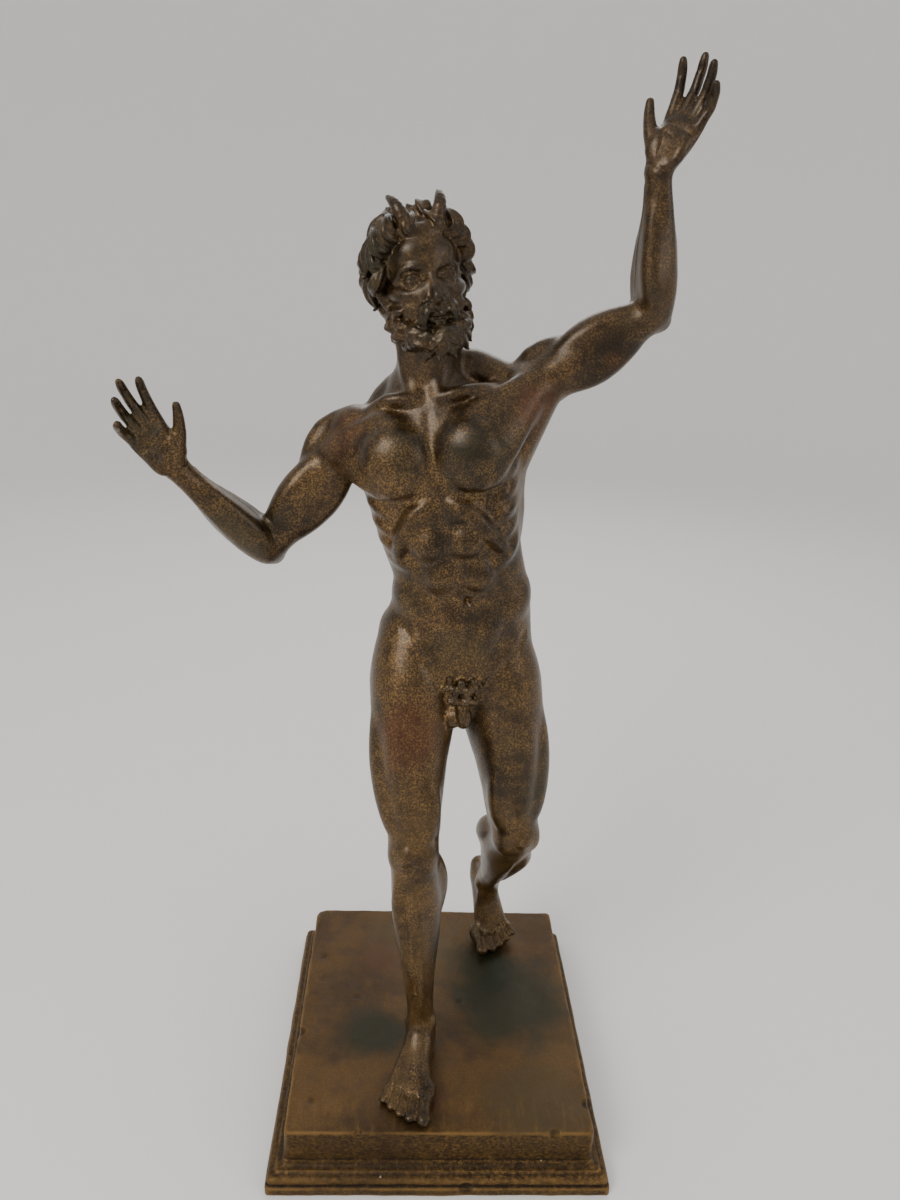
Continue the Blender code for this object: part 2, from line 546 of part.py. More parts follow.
def arm_muscles(form, upper, lower):
    bellies = (
        (upper, ((0.18, 0.0, 2.6), (0.45, -0.3, 3.7), (0.68, -0.2, 3.4), (0.92, 0.0, 2.2)), 2.9, 2.6),
        (upper, ((0.12, 1.2, -2.4), (0.38, 1.8, -3.5), (0.60, 1.4, -3.0), (0.88, 0.6, -2.0)), 2.6, 2.5),
        (upper, ((0.15, -1.6, -2.2), (0.42, -1.9, -3.3), (0.66, -1.4, -2.8), (0.88, -0.4, -2.0)), 2.5, 2.4),
        (upper, ((0.45, 2.8, 0.8), (0.65, 3.0, 1.0), (0.85, 2.6, 1.2), (0.98, 2.2, 1.4)), 1.7, 2.3),
        (lower, ((-0.16, 3.0, 0.8), (0.10, 3.2, 1.8), (0.35, 2.4, 1.9), (0.72, 1.8, 1.2)), 2.0, 2.2),
        (lower, ((-0.03, -2.6, 0.6), (0.18, -2.9, 1.3), (0.42, -2.2, 1.3), (0.80, -1.2, 1.0)), 2.3, 2.3),
        (lower, ((0.0, 1.4, -1.6), (0.22, 1.7, -2.4), (0.46, 1.2, -2.1), (0.85, 0.6, -1.2)), 2.1, 1.9),
        (lower, ((0.0, -1.4, -2.0), (0.30, -1.8, -1.8), (0.62, -1.6, -1.4), (0.97, -1.5, -1.0)), 1.4, 1.4),
    )
    for bone, places, wide, deep in bellies:
        form.spindle(curve_through([bone.at(*p) for p in places], 3),
                     wide * CM, deep * CM, bone.front, ends=0.35)
    form.ball(upper.at(1.0, 0, -2.4), (1.8 * CM, 1.6 * CM, 2.2 * CM),
              (upper.out, upper.front, upper.along))


def hand_shape(form, wrist, ahead, palm, hand, curls, spread):
    """A hand. Palm is the way its inside faces, and curls are each finger's bends in degrees."""
    ahead = ahead.normalized()
    palm = (palm - ahead * palm.dot(ahead)).normalized()
    # Towards the thumb
    thumb_side = palm.cross(ahead) * hand

    def at(forward, side, inward):
        return (wrist + ahead * forward + thumb_side * side + palm * inward) * CM

    rows = ((-0.8, 0.0, 2.5, 1.8), (2.0, 0.1, 3.2, 1.7), (5.0, 0.0, 3.9, 1.6), (8.4, -0.1, 4.1, 1.35))
    form.sweep([at(f, s, 0) for f, s, _, _ in rows], [row[2] * CM for row in rows],
               [row[3] * CM for row in rows], palm, sides=14)
    form.ball(at(3.6, 2.3, 1.0), (3.0 * CM, 1.7 * CM, 1.6 * CM), (ahead, thumb_side, palm))
    form.ball(at(3.6, -2.6, 0.9), (3.2 * CM, 1.3 * CM, 1.2 * CM), (ahead, thumb_side, palm))
    # Fingers: side of the knuckle, its reach, and three bone lengths
    fingers = ((3.0, 8.8, (4.4, 2.6, 2.0)), (1.0, 9.3, (4.9, 3.0, 2.1)),
               (-1.0, 9.0, (4.5, 2.8, 2.1)), (-2.9, 8.2, (3.5, 2.1, 1.8)))
    for (side, reach, bones), bends, fan in zip(fingers, curls, spread):
        base = ahead * math.cos(fan) + thumb_side * math.sin(fan)
        points, widths = [at(reach - 1.6, side, -0.1), at(reach, side, 0)], [1.0, 1.08]
        angle = 0
        for k, (bone, bend) in enumerate(zip(bones, bends)):
            angle += math.radians(bend)
            way = base * math.cos(angle) + palm * math.sin(angle)
            points.append(points[-1] + way * bone * 0.5 * CM)
            points.append(points[-1] + way * bone * 0.5 * CM)
            widths += [0.98 - 0.06 * k, (1.0, 0.92, 0.72)[k]]
        form.sweep(points, [w * CM for w in widths], [w * 0.95 * CM for w in widths],
                   palm, steps=2, sides=10)
    thumb = [at(1.6, 1.8, 0.6), at(4.4, 3.9, 1.4), at(7.2, 5.8, 1.8), at(9.4, 6.8, 2.3)]
    form.sweep(thumb, [1.3 * CM, 1.35 * CM, 1.1 * CM, 0.85 * CM],
               [1.3 * CM, 1.3 * CM, 1.05 * CM, 0.75 * CM], palm, steps=3, sides=10)


# Head

class Skull:
    """The head's own frame: side to its left, front along the gaze and up, in cm from between the ears."""

    def __init__(self):
        self.up = HEAD_UP
        self.front = (HEAD_FRONT - HEAD_UP * HEAD_FRONT.dot(HEAD_UP)).normalized()
        self.side = self.up.cross(self.front) * 1
        self.axes = (self.side, self.front, self.up)

    def at(self, side, front, up):
        return (HEAD + self.side * side + self.front * front + self.up * up) * CM

    def way(self, side, front, up):
        return (self.side * side + self.front * front + self.up * up).normalized()


def head_mass(form, skull):
    def ball(side, front, up, radii):
        form.ball(skull.at(side, front, up), [r * CM for r in radii], skull.axes)

    def ridge(places, widths, depths, front=None, steps=3, sides=12):
        form.sweep([skull.at(*place) for place in places], [w * CM for w in widths],
                   [d * CM for d in depths], front or skull.front, steps=steps, sides=sides)

    ball(0, -1.0, 3.4, (7.4, 9.2, 8.8))
    ball(0, 2.2, -2.8, (6.0, 6.4, 7.7))
    for hand in (LEFT, RIGHT):
        # Jaw, cheekbone and cheek
        ridge(((5.7 * hand, -0.8, -4.0), (5.5 * hand, 1.2, -7.4), (3.6 * hand, 5.0, -9.4),
               (1.2 * hand, 7.2, -9.9)), (1.6, 1.8, 1.6, 1.5), (1.8, 1.8, 1.6, 1.4), skull.up)
        ridge(((6.2 * hand, 0.8, -0.6), (5.6 * hand, 4.2, -1.2), (4.2 * hand, 6.0, -1.9)),
              (1.3, 1.6, 1.4), (1.3, 1.7, 1.5), skull.up)
        ball(3.6 * hand, 5.6, -4.2, (2.1, 1.9, 2.4))
        # Brow, eyeball with its lids, and the fold under the eye
        ridge(((0.9 * hand, 7.5, 2.0), (2.8 * hand, 7.35, 2.75), (4.7 * hand, 6.2, 2.5),
               (6.0 * hand, 4.4, 1.2)), (0.85, 0.95, 0.9, 0.7), (0.9, 1.0, 1.0, 0.8))
        ball(3.1 * hand, 6.15, 0.65, (1.5, 1.35, 1.15))
        # Nostril wing
        ball(1.3 * hand, 8.35, -3.6, (0.75, 1.05, 0.75))
    ball(0, 6.6, 5.4, (4.6, 1.9, 2.6))
    ball(0, 7.3, -9.4, (2.3, 1.5, 1.6))
    # Nose
    ridge(((0, 7.3, 2.2), (0, 7.9, 0.6), (0, 8.9, -1.6), (0, 9.85, -3.1), (0, 9.0, -3.9)),
          (0.95, 0.75, 0.85, 1.1, 0.9), (0.8, 0.8, 0.9, 1.05, 0.7))
    # Lips
    ball(0, 7.7, -5.4, (2.6, 1.3, 1.3))
    ridge(((-2.3, 7.2, -6.35), (-1.0, 8.35, -6.05), (0, 8.5, -6.15), (1.0, 8.35, -6.05),
           (2.3, 7.2, -6.35)), (0.4, 0.55, 0.5, 0.55, 0.4), (0.5, 0.65, 0.6, 0.65, 0.5), skull.up)
    ridge(((-1.8, 7.3, -6.7), (0, 8.2, -7.2), (1.8, 7.3, -6.7)), (0.45, 0.7, 0.45), (0.45, 0.65, 0.45),
          skull.up)
    for hand in (LEFT, RIGHT):
        # Horns, standing out of the hair over the brow
        ridge(((2.6 * hand, 5.4, 8.6), (3.2 * hand, 6.4, 10.8), (3.9 * hand, 6.2, 12.8),
               (4.4 * hand, 4.8, 14.3), (4.7 * hand, 3.4, 15.0)),
              (1.4, 1.35, 1.15, 0.85, 0.4), (1.4, 1.35, 1.15, 0.85, 0.4), steps=2)
        # Pointed ears
        ridge(((7.0 * hand, 0.2, -3.0), (7.8 * hand, -0.2, -0.6), (8.9 * hand, -1.2, 2.0),
               (10.2 * hand, -2.4, 4.6)), (0.8, 1.2, 1.2, 0.35), (0.7, 0.8, 0.7, 0.3))


def lock(form, root, way, out, length, width, swing, curl):
    """A wavy lock of hair: it leaves the root, swells outward, and hooks at its tip."""
    across = way.cross(out).normalized()
    points, widths = [], []
    last = 6
    for k in range(last + 1):
        t = k / last
        lift = math.sin(math.pi * min(1, t * 1.15)) * 0.26 + curl * t ** 3
        sway = math.sin(2 * math.pi * t * 0.8) * swing
        points.append((root + way * (length * t * (1 - 0.16 * t)) + out * (length * lift)
                       + across * (length * sway)) * CM)
        widths.append(width * (0.62 + 0.5 * math.sin(math.pi * min(1, 0.15 + t * 0.9)))
                      * (1 - 0.62 * t ** 2))
    form.sweep(points, [w * CM for w in widths], [w * 0.72 * CM for w in widths],
               out, steps=2, sides=9)


def hair(form, skull):
    """Rows of tousled locks over the scalp, from the brow round to the nape."""
    chance = random.Random(7)
    # Elevation and azimuth range of each row in degrees, locks a side, length, width, downward pull
    rows = ((80, 20, 160, 3, 6.2, 1.7, 0.1), (62, 20, 172, 5, 6.6, 1.65, 0.2),
            (44, 30, 174, 7, 6.8, 1.65, 0.5), (26, 48, 174, 7, 6.8, 1.65, 0.8),
            (8, 68, 174, 7, 6.6, 1.6, 1.0), (-10, 82, 174, 6, 6.4, 1.6, 1.2),
            (-27, 96, 172, 5, 5.6, 1.5, 1.3))
    for hand in (LEFT, RIGHT):
        for elevation, first, last, count, length, width, pull in rows:
            for k in range(count):
                turn = math.radians(first + (last - first) * (k + 0.5) / count + chance.uniform(-4, 4))
                tall = math.radians(elevation + chance.uniform(-4, 4))
                side = math.sin(turn) * math.cos(tall) * hand
                front = math.cos(turn) * math.cos(tall)
                up = math.sin(tall)
                out = skull.way(side, front, up)
                root = skull.at(side * 7.2, front * 9.0 - 1.0, up * 8.6 + 3.0) / CM
                fall = skull.way(side * 0.5, front * 0.4 - 0.6, 0.35 - pull)
                across = fall.cross(out)
                way = (fall - out * fall.dot(out) * 0.85 + across * chance.uniform(-0.35, 0.35)).normalized()
                lock(form, root, way, out, length * chance.uniform(0.85, 1.15),
                     width * chance.uniform(0.85, 1.15),
                     chance.choice((-1, 1)) * chance.uniform(0.10, 0.2), chance.uniform(0.05, 0.32))
        # Forelocks, which rise from the brow beside the horns
        for side, front, up, lean, length in (
                (0.9, 7.0, 7.8, -0.15, 5.2), (4.4, 5.8, 7.6, 0.5, 5.4), (5.8, 4.2, 6.2, 0.8, 5.6),
                (6.6, 2.6, 4.0, 0.9, 5.2)):
            root = skull.at(side * hand, front - 0.8, up) / CM
            way = skull.way(lean * hand, 0.15 - 0.3 * abs(lean), 1)
            lock(form, root, way, skull.way(0.3 * hand, 1, 0.2), length * chance.uniform(0.9, 1.1),
                 1.5, 0.16 * hand, -0.22)


def beard(form, skull):
    chance = random.Random(11)
    for hand in (LEFT, RIGHT):
        # Moustache
        form.sweep([skull.at(0.35 * hand, 8.75, -5.2), skull.at(1.7 * hand, 8.6, -5.7),
                    skull.at(3.0 * hand, 7.6, -6.6), skull.at(3.9 * hand, 6.5, -8.0)],
                   [0.6 * CM, 0.75 * CM, 0.7 * CM, 0.4 * CM],
                   [0.6 * CM, 0.7 * CM, 0.6 * CM, 0.4 * CM], skull.front, sides=9)
        # Side, forward and up of each lock's root, how far it leans forward, and its length
        for side, front, up, lean, length in (
                (6.3, 0.6, -3.4, 0.1, 3.0), (6.1, 2.0, -5.4, 0.2, 3.2), (5.5, 3.4, -7.2, 0.3, 3.4),
                (4.6, 4.8, -8.6, 0.4, 3.6), (3.3, 6.2, -9.2, 0.5, 3.8), (1.5, 7.2, -9.6, 0.5, 4.2),
                (5.2, 1.6, -8.2, 0.2, 3.2), (3.8, 3.6, -10.0, 0.3, 3.4), (1.9, 5.4, -10.6, 0.4, 3.8),
                (0.5, 7.4, -8.9, 0.6, 3.6), (0.3, 6.6, -10.4, 0.4, 4.2)):
            root = skull.at(side * hand, front - 0.4, up) / CM
            way = skull.way(0.15 * side / 6 * hand, lean, -1)
            out = skull.way(side / 7 * hand, 0.7 if side < 5 else 0.35, -0.1)
            lock(form, root, way, out, length * chance.uniform(0.9, 1.15), 1.15,
                 chance.choice((-1, 1)) * 0.2, chance.uniform(0.1, 0.3))


def neck_muscles(form, skull):
    for hand in (LEFT, RIGHT):
        form.spindle([skull.at(6.0 * hand, -2.8, -3.5), skull.at(5.0 * hand, -0.6, -8.5),
                      torso(3.2, 4.4, 150.5, hand), torso(1.5, 6.4, 146.4, hand)],
                     1.7 * CM, 1.6 * CM, FORWARD, ends=0.7)
        form.spindle([skull.at(3.2 * hand, -6.6, -3.0), torso(3.0, -4.2, 153, hand),
                      torso(3.4, -6.4, 146, hand)],
                     2.6 * CM, 1.8 * CM, FORWARD, ends=0.8)


def carve_details(mesh, skull):
    """Hollows and lines that cut into the fused skin."""
    skin = Skin(mesh)

    def on_trunk(out, level, hand=LEFT, back=False):
        ahead = torso_frame(level)[2] * (-1 if back else 1)
        return skin.land(torso(out, -9 if back else 9, level, hand), ahead)

    def on_face(side, front, up):
        return skin.land(skull.at(side, front, up), skull.front)

    skin.press([on_trunk(0, 107.0)], 1.5, 1.0)
    skin.press([on_trunk(0, level) for level in (127, 124, 121, 118, 115, 112, 109)], 1.2, 0.28)
    skin.press([on_trunk(0, level) for level in (143, 140, 137, 134, 131)], 1.4, 0.35)
    skin.press([on_trunk(0, level, back=True) for level in range(98, 142, 4)], 2.0, 0.7)
    skin.press([on_trunk(0, level, back=True) for level in (96, 94, 92, 90, 88, 86)], 1.6, 1.3)
    for hand in (LEFT, RIGHT):
        skin.press([on_trunk(out, level, hand) for out, level in
                    ((1.6, 128.4), (4.2, 127.6), (7.4, 127.6), (10.4, 129.2))], 1.5, 0.5)
        skin.press([on_trunk(out, level, hand) for out, level in
                    ((12.6, 99.5), (10.4, 96.0), (7.6, 92.4), (5.0, 89.4))], 1.5, 0.6)
        for level in (122.1, 115.7, 109.2):
            skin.press([on_trunk(out, level + 0.06 * out, hand) for out in (1.0, 3.0, 5.2)], 1.0, 0.22)
        skin.press([on_trunk(6.9, level, hand) for level in (121, 116, 111, 105)], 1.3, 0.4)
        # Inner corner of the eye, then the line between the lids
        skin.press([on_face(1.55 * hand, 7, 0.9)], 1.0, 0.55)
        skin.press([on_face(1.9 * hand, 7, -1.2), on_face(3.4 * hand, 7, -1.3)], 0.9, 0.25)
        # Nostrils
        skin.press([skull.at(0.65 * hand, 9.0, -4.3)], 0.7, 0.35)
    skin.press([on_face(side, 8.5, -6.55) for side in (-2.0, -1.0, 0, 1.0, 2.0)], 0.7, 0.35)
    skin.finish()


# Assembly

def make_bones():
    legs, arms = {}, {}
    for hand in (LEFT, RIGHT):
        knee = middle_joint(HIPS[hand], ANKLES[hand], THIGH, SHANK, KNEE_WAYS[hand])
        legs[hand] = (Bone(HIPS[hand], knee, KNEE_WAYS[hand], hand),
                      Bone(knee, ANKLES[hand], KNEE_WAYS[hand], hand))
    # The crook of each elbow faces between the two bones of the arm.
    for hand in (LEFT, RIGHT):
        top, elbow, wrist = SHOULDERS[hand], ELBOWS[hand], WRISTS[hand]
        crook = ((top - elbow).normalized() + (wrist - elbow).normalized()).normalized()
        arms[hand] = (Bone(top, elbow, crook, hand), Bone(elbow, wrist, crook, hand))
    return legs, arms


def figure_mesh():
    legs, arms = make_bones()
    skull = Skull()

    masses = Form()
    trunk_mass(masses)
    neck_mass(masses, skull)
    for hand in (LEFT, RIGHT):
        leg_mass(masses, *legs[hand])
        arm_mass(masses, *arms[hand], PALM_WAYS[hand])
    mass = masses.fused(MASS_VOXEL, 5)

    muscles = Form()
    muscles.add_mesh(mass)
    chest_and_back(muscles, {hand: arms[hand][0] for hand in arms})
    abdomen(muscles)
    seat(muscles, legs)
    neck_muscles(muscles, skull)
    for hand in (LEFT, RIGHT):
        leg_muscles(muscles, *legs[hand])
        arm_muscles(muscles, *arms[hand])
    body = muscles.fused(MUSCLE_VOXEL, 4)

    details = Form()
    details.add_mesh(body)
    head_mass(details, skull)
    hair(details, skull)
    beard(details, skull)
    groin(details)
    for hand in (LEFT, RIGHT):
        foot(details, ANKLES[hand], FOOT_WAYS[hand], HEEL_LIFTS[hand], hand)
        hand_shape(details, WRISTS[hand], HAND_WAYS[hand], PALM_WAYS[hand], hand,
                   FINGER_BENDS[hand], FINGER_FANS[hand])
    mesh = details.fused(DETAIL_VOXEL, 1)
    carve_details(mesh, skull)
    return mesh


def make_figure(parts):
    mesh = figure_mesh()
    mesh.name = "faun_figure"
    figure = bpy.data.objects.new("faun_figure", mesh)
    # The soles are flat where they meet the plinth.
    for vert in mesh.vertices:
        vert.co.z = max(vert.co.z, SOLE_CUT)
    mesh.transform(Matrix.Translation((0, 0, FOOT_GAP - SOLE_CUT)))
    figure.location.z = PLINTH_HEIGHT
    parts.objects.link(figure)
    thin = figure.modifiers.new("Keep", "DECIMATE")
    thin.ratio = FIGURE_TRIANGLES / sum(len(face.vertices) - 2 for face in mesh.polygons)
    return figure


def make_plinth(parts):
    """The slab and its moulded base, cast as one block."""
    # Outward from the slab's side and up from the underside, in metres
    fascia = BASE_OVERHANG
    torus_top = FASCIA_HEIGHT + TORUS_HEIGHT
    cove_top = torus_top + COVE_HEIGHT
    profile = [(fascia, 0), (fascia, FASCIA_HEIGHT), (fascia - 0.0012, FASCIA_HEIGHT + 0.0008)]
    torus_out, bulge = BASE_OVERHANG * 0.52, BASE_OVERHANG * 0.38
    for k in range(6):
        turn = math.radians(-60 + 30 * k)
        profile.append((torus_out + bulge * math.cos(turn),
                        FASCIA_HEIGHT + TORUS_HEIGHT * (0.55 + 0.48 * math.sin(turn))))
    profile += [(torus_out, torus_top + 0.0004), (torus_out - 0.0008, torus_top + 0.0018)]
    for k in range(5):
        turn = math.radians(90 * k / 4)
        profile.append((0.0008 + (torus_out - 0.0022) * (1 - math.sin(turn)),
                        torus_top + 0.002 + (COVE_HEIGHT - 0.002) * (1 - math.cos(turn))))
    profile += [(0, cove_top + 0.0004), (0, PLINTH_HEIGHT - 0.0008), (-0.0008, PLINTH_HEIGHT)]

    rings = []
    for out, height in profile:
        ring = []
        corner = SLAB_CORNER + out * 0.3
        for quarter in range(4):
            sx, sy = ((1, 1), (-1, 1), (-1, -1), (1, -1))[quarter]
            cx = sx * (SLAB_WIDTH / 2 + out - corner)
            cy = sy * (SLAB_DEPTH / 2 + out - corner)
            for k in range(4):
                turn = math.radians(90 * quarter + 30 * k)
                ring.append(Vector((cx + corner * math.cos(turn), cy + corner * math.sin(turn), height)))
        rings.append(ring)
    form = Form()
    loops = [[form.bm.verts.new(p) for p in ring] for ring in rings]
    for low, high in zip(loops, loops[1:]):
        for i in range(len(low)):
            j = (i + 1) % len(low)
            form.bm.faces.new((low[i], low[j], high[j], high[i]))
    form.bm.faces.new(loops[0][::-1])
    form.bm.faces.new(loops[-1])
    mesh = bpy.data.meshes.new("plinth")
    form.bm.to_mesh(mesh)
    form.bm.free()
    plinth = bpy.data.objects.new("plinth", mesh)
    parts.objects.link(plinth)
    return plinth


def bronze(name, colour, roughness):
    material = bpy.data.materials.new(name)
    material.use_nodes = True
    shader = material.node_tree.nodes["Principled BSDF"]
    shader.inputs["Base Color"].default_value = colour
    shader.inputs["Metallic"].default_value = 0.6
    shader.inputs["Roughness"].default_value = roughness
    return material


def main():
    for obj in list(bpy.data.objects):
        bpy.data.objects.remove(obj)
    parts = bpy.data.collections.new("dancing_faun")
    bpy.context.scene.collection.children.link(parts)
    figure = make_figure(parts)
    plinth = make_plinth(parts)
    figure.data.materials.append(bronze("figure_bronze", BRONZE, 0.42))
    plinth.data.materials.append(bronze("plinth_bronze", PLINTH_BRONZE, 0.5))
    figure.data.shade_smooth()
    plinth.data.shade_smooth()
    plinth.data.set_sharp_from_angle(angle=math.radians(35))


main()
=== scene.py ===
import json
import math
import random

import bmesh
import bpy
import numpy as np
from mathutils import Matrix, Vector
from mathutils.bvhtree import BVHTree

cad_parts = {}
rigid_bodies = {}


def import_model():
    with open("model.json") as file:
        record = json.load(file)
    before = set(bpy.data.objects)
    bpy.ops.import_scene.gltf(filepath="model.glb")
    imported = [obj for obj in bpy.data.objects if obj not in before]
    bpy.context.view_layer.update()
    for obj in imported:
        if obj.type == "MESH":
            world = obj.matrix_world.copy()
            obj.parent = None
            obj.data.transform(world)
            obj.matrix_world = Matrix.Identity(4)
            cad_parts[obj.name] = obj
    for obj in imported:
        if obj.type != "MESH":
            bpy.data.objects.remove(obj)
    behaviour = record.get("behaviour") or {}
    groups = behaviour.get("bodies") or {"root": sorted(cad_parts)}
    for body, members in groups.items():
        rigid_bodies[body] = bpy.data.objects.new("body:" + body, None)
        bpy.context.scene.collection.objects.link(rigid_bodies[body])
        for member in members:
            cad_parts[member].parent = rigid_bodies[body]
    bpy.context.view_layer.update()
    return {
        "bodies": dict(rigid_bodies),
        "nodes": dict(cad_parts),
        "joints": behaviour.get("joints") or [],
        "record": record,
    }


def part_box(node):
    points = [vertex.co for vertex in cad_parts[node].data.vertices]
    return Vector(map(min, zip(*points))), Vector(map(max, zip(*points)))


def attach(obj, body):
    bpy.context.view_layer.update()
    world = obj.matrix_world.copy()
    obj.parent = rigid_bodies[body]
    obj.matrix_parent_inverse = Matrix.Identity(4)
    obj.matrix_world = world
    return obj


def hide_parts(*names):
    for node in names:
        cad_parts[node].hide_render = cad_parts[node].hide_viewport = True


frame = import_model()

# A bronze dancing faun on its moulded plinth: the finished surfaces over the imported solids.
# Metres, +Z up. The faun faces -Y, and the plinth stands on z = 0.

figure = dict(
    height=0.640,  # sole to crown if it stood upright
    massVoxel=0.0034,
    muscleVoxel=0.0017,
    featureVoxel=0.0009,
    detailVoxel=0.0007,
    triangles=190000,
    hollows=((0.0011, 0.00022), (0.0030, 0.0009)),  # distance, and how deep a full hollow is
    soleCut=0.0008,
    footGap=0.0003,
)

plinth = dict(
    slabWidth=0.229,
    slabDepth=0.2535,
    slabHeight=0.026,
    corner=0.0035,
    overhang=0.013,
    fasciaHeight=0.0065,
    torusHeight=0.0075,
    coveHeight=0.006,
    voxel=0.0008,
    hollows=((0.0010, 0.00022), (0.0018, 0.00055)),
    seed=5,
    waves=14,
    waviness=0.00022,
    # side, front and level of each knock, its reach and its depth
    knocks=((0.1145, -0.10, 0.046, 0.006, 0.0016), (0.085, -0.12675, 0.046, 0.005, 0.0014),
            (-0.06, -0.12675, 0.046, 0.004, 0.001), (-0.1145, -0.03, 0.046, 0.006, 0.0014),
            (0.02, -0.13975, 0.0065, 0.006, 0.0012), (-0.1145, 0.12675, 0.046, 0.008, 0.0016),
            (-0.103, 0.060, 0.046, 0.005, 0.0007), (-0.101, 0.032, 0.046, 0.006, 0.0006),
            (-0.070, 0.010, 0.046, 0.004, 0.0005), (0.030, -0.030, 0.046, 0.006, 0.0005),
            (-0.098, -0.098, 0.046, 0.005, 0.0006), (0.020, 0.006, 0.046, 0.004, 0.0005)),
    triangles=150000,
)
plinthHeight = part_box("plinth")[1].z

# The figure is laid out in the centimetres of a man 180 cm tall, from the middle of the plinth's top.
cm = figure["height"] / 180
left, right = 1, -1
worldUp = Vector((0, 0, 1))
straightAhead = Vector((0, -1, 0))

pose = dict(
    thighLength=43.0,
    shankLength=43.0,
    pelvis=Vector((0.5, 1.5, 92.0)),
    pelvisSide=Vector((0.97, 0.18, -0.10)).normalized(),
    pelvisUp=Vector((0.08, 0.06, 1)).normalized(),
    pelvisLevel=93,
    chest=Vector((-3.4, 0.2, 127.5)),
    chestSide=Vector((0.97, -0.13, 0.20)).normalized(),
    chestUp=Vector((-0.17, 0.07, 1)).normalized(),
    chestLevel=128,
    hipOut=9.0,
    ankles={right: Vector((-4.2, -14.5, 8.6)), left: Vector((13.5, 28.5, 15.8))},
    kneeWays={right: Vector((-0.20, -1, 0)), left: Vector((0.26, -1, 0))},
    shoulders={right: Vector((-20.6, 2.6, 137.6)), left: Vector((12.4, 0.6, 147.2))},
    elbows={right: Vector((-38.4, 1.2, 113.6)), left: Vector((34.6, -1.0, 162.4))},
    wrists={right: Vector((-53.5, -8.0, 131.5)), left: Vector((31.4, -5.4, 186.2))},
    handWays={right: Vector((-0.50, -0.30, 0.80)), left: Vector((0.40, 0.10, 0.80))},
    palmWays={right: Vector((0.20, -0.84, 0.50)), left: Vector((-0.55, -0.72, 0.36))},
    # each finger's bends in degrees from the forefinger on, joint by joint
    fingerBends={right: ((10, 14, 10), (4, 16, 12), (10, 22, 14), (16, 26, 18)),
                 left: ((8, 18, 14), (2, 16, 12), (8, 22, 14), (14, 24, 18))},
    fingerFans={right: (0.14, 0.03, -0.08, -0.20), left: (0.16, 0.04, -0.09, -0.22)},
    footWays={right: Vector((-0.16, -1, 0)), left: Vector((0.22, -1, 0))},
    heelLifts={right: 0.0, left: math.radians(44)},
    headPlace=Vector((-8.8, -1.2, 165.4)),
    headUp=Vector((-0.20, 0.10, 1)).normalized(),
    headFront=Vector((0.24, -1, 0.03)),
)
pose["hips"] = {hand: pose["pelvis"] + pose["pelvisSide"] * pose["hipOut"] * hand
                for hand in (right, left)}


# Node trees

def addNode(tree, kind, inputs=None, **settings):
    made = tree.nodes.new(kind)
    for name, value in settings.items():
        setattr(made, name, value)
    for key, value in (inputs or {}).items():
        socket = made.inputs[key]
        if isinstance(value, bpy.types.NodeSocket):
            tree.links.new(value, socket)
        else:
            socket.default_value = value
    return made


def mathNode(tree, operation, *values, clamp=False):
    return addNode(tree, "ShaderNodeMath", dict(enumerate(values)),
                   operation=operation, use_clamp=clamp).outputs[0]


def ramp(tree, value, low, high, to=(0, 1)):
    return addNode(tree, "ShaderNodeMapRange", {"Value": value, "From Min": low, "From Max": high,
                                                "To Min": to[0], "To Max": to[1]},
                   interpolation_type="SMOOTHSTEP").outputs["Result"]


def mixColour(tree, share, first, second):
    return addNode(tree, "ShaderNodeMix", {0: share, 6: first, 7: second},
                   data_type="RGBA", blend_type="MIX", clamp_factor=True).outputs[2]


def noise(tree, place, scale, detail=3, roughness=0.55, distortion=0):
    made = addNode(tree, "ShaderNodeTexNoise", {"Vector": place, "Scale": scale, "Detail": detail,
                                                "Roughness": roughness, "Distortion": distortion})
    return made.outputs["Fac"]


def newSocket(tree, name, kind, default=None, out=False):
    made = tree.interface.new_socket(name, in_out="OUTPUT" if out else "INPUT", socket_type=kind)
    if default is not None:
        made.default_value = default
    return made


# A Geometry Nodes modifier's inputs, set by their names.
def setInputs(modifier, **values):
    for item in modifier.node_group.interface.items_tree:
        if item.in_out == "INPUT" and item.name in values:
            modifier[item.identifier] = values[item.name]


# Meshes and curves

def linked(name, data):
    holder = bpy.data.objects.new(name, data)
    bpy.context.scene.collection.objects.link(holder)
    return holder


# What an object's modifiers make of it, as a plain mesh.
def evaluated(holder):
    graph = bpy.context.evaluated_depsgraph_get()
    return bpy.data.meshes.new_from_object(holder.evaluated_get(graph))


def addFusing(holder, voxel, rounds):
    fuse = holder.modifiers.new("Fuse", "REMESH")
    fuse.mode = "VOXEL"
    fuse.voxel_size = voxel
    soften = holder.modifiers.new("Soften", "SMOOTH")
    soften.factor = 0.5
    soften.iterations = rounds


def pointsOf(mesh):
    points = np.empty(len(mesh.vertices) * 3)
    mesh.vertices.foreach_get("co", points)
    return points.reshape(-1, 3)


def normalsOf(mesh):
    normals = np.empty(len(mesh.vertices) * 3)
    mesh.vertex_normals.foreach_get("vector", normals)
    return normals.reshape(-1, 3)


def blend(a, b, share):
    return a + (b - a) * share


def smoothStep(low, high, value):
    share = min(1, max(0, (value - low) / (high - low)))
    return share * share * (3 - 2 * share)


# Rows of numbers or vectors, joined by a Catmull-Rom curve with this many steps a span.
def curveThrough(rows, steps):
    made = []
    last = len(rows) - 1
    for i in range(last):
        before, here = rows[max(i - 1, 0)], rows[i]
        there, after = rows[i + 1], rows[min(i + 2, last)]
        for k in range(steps):
            t = k / steps
            made.append(0.5 * (
                2 * here + (there - before) * t
                + (2 * before - 5 * here + 4 * there - after) * t ** 2
                + (3 * here - before - 3 * there + after) * t ** 3))
    made.append(rows[last])
    return made


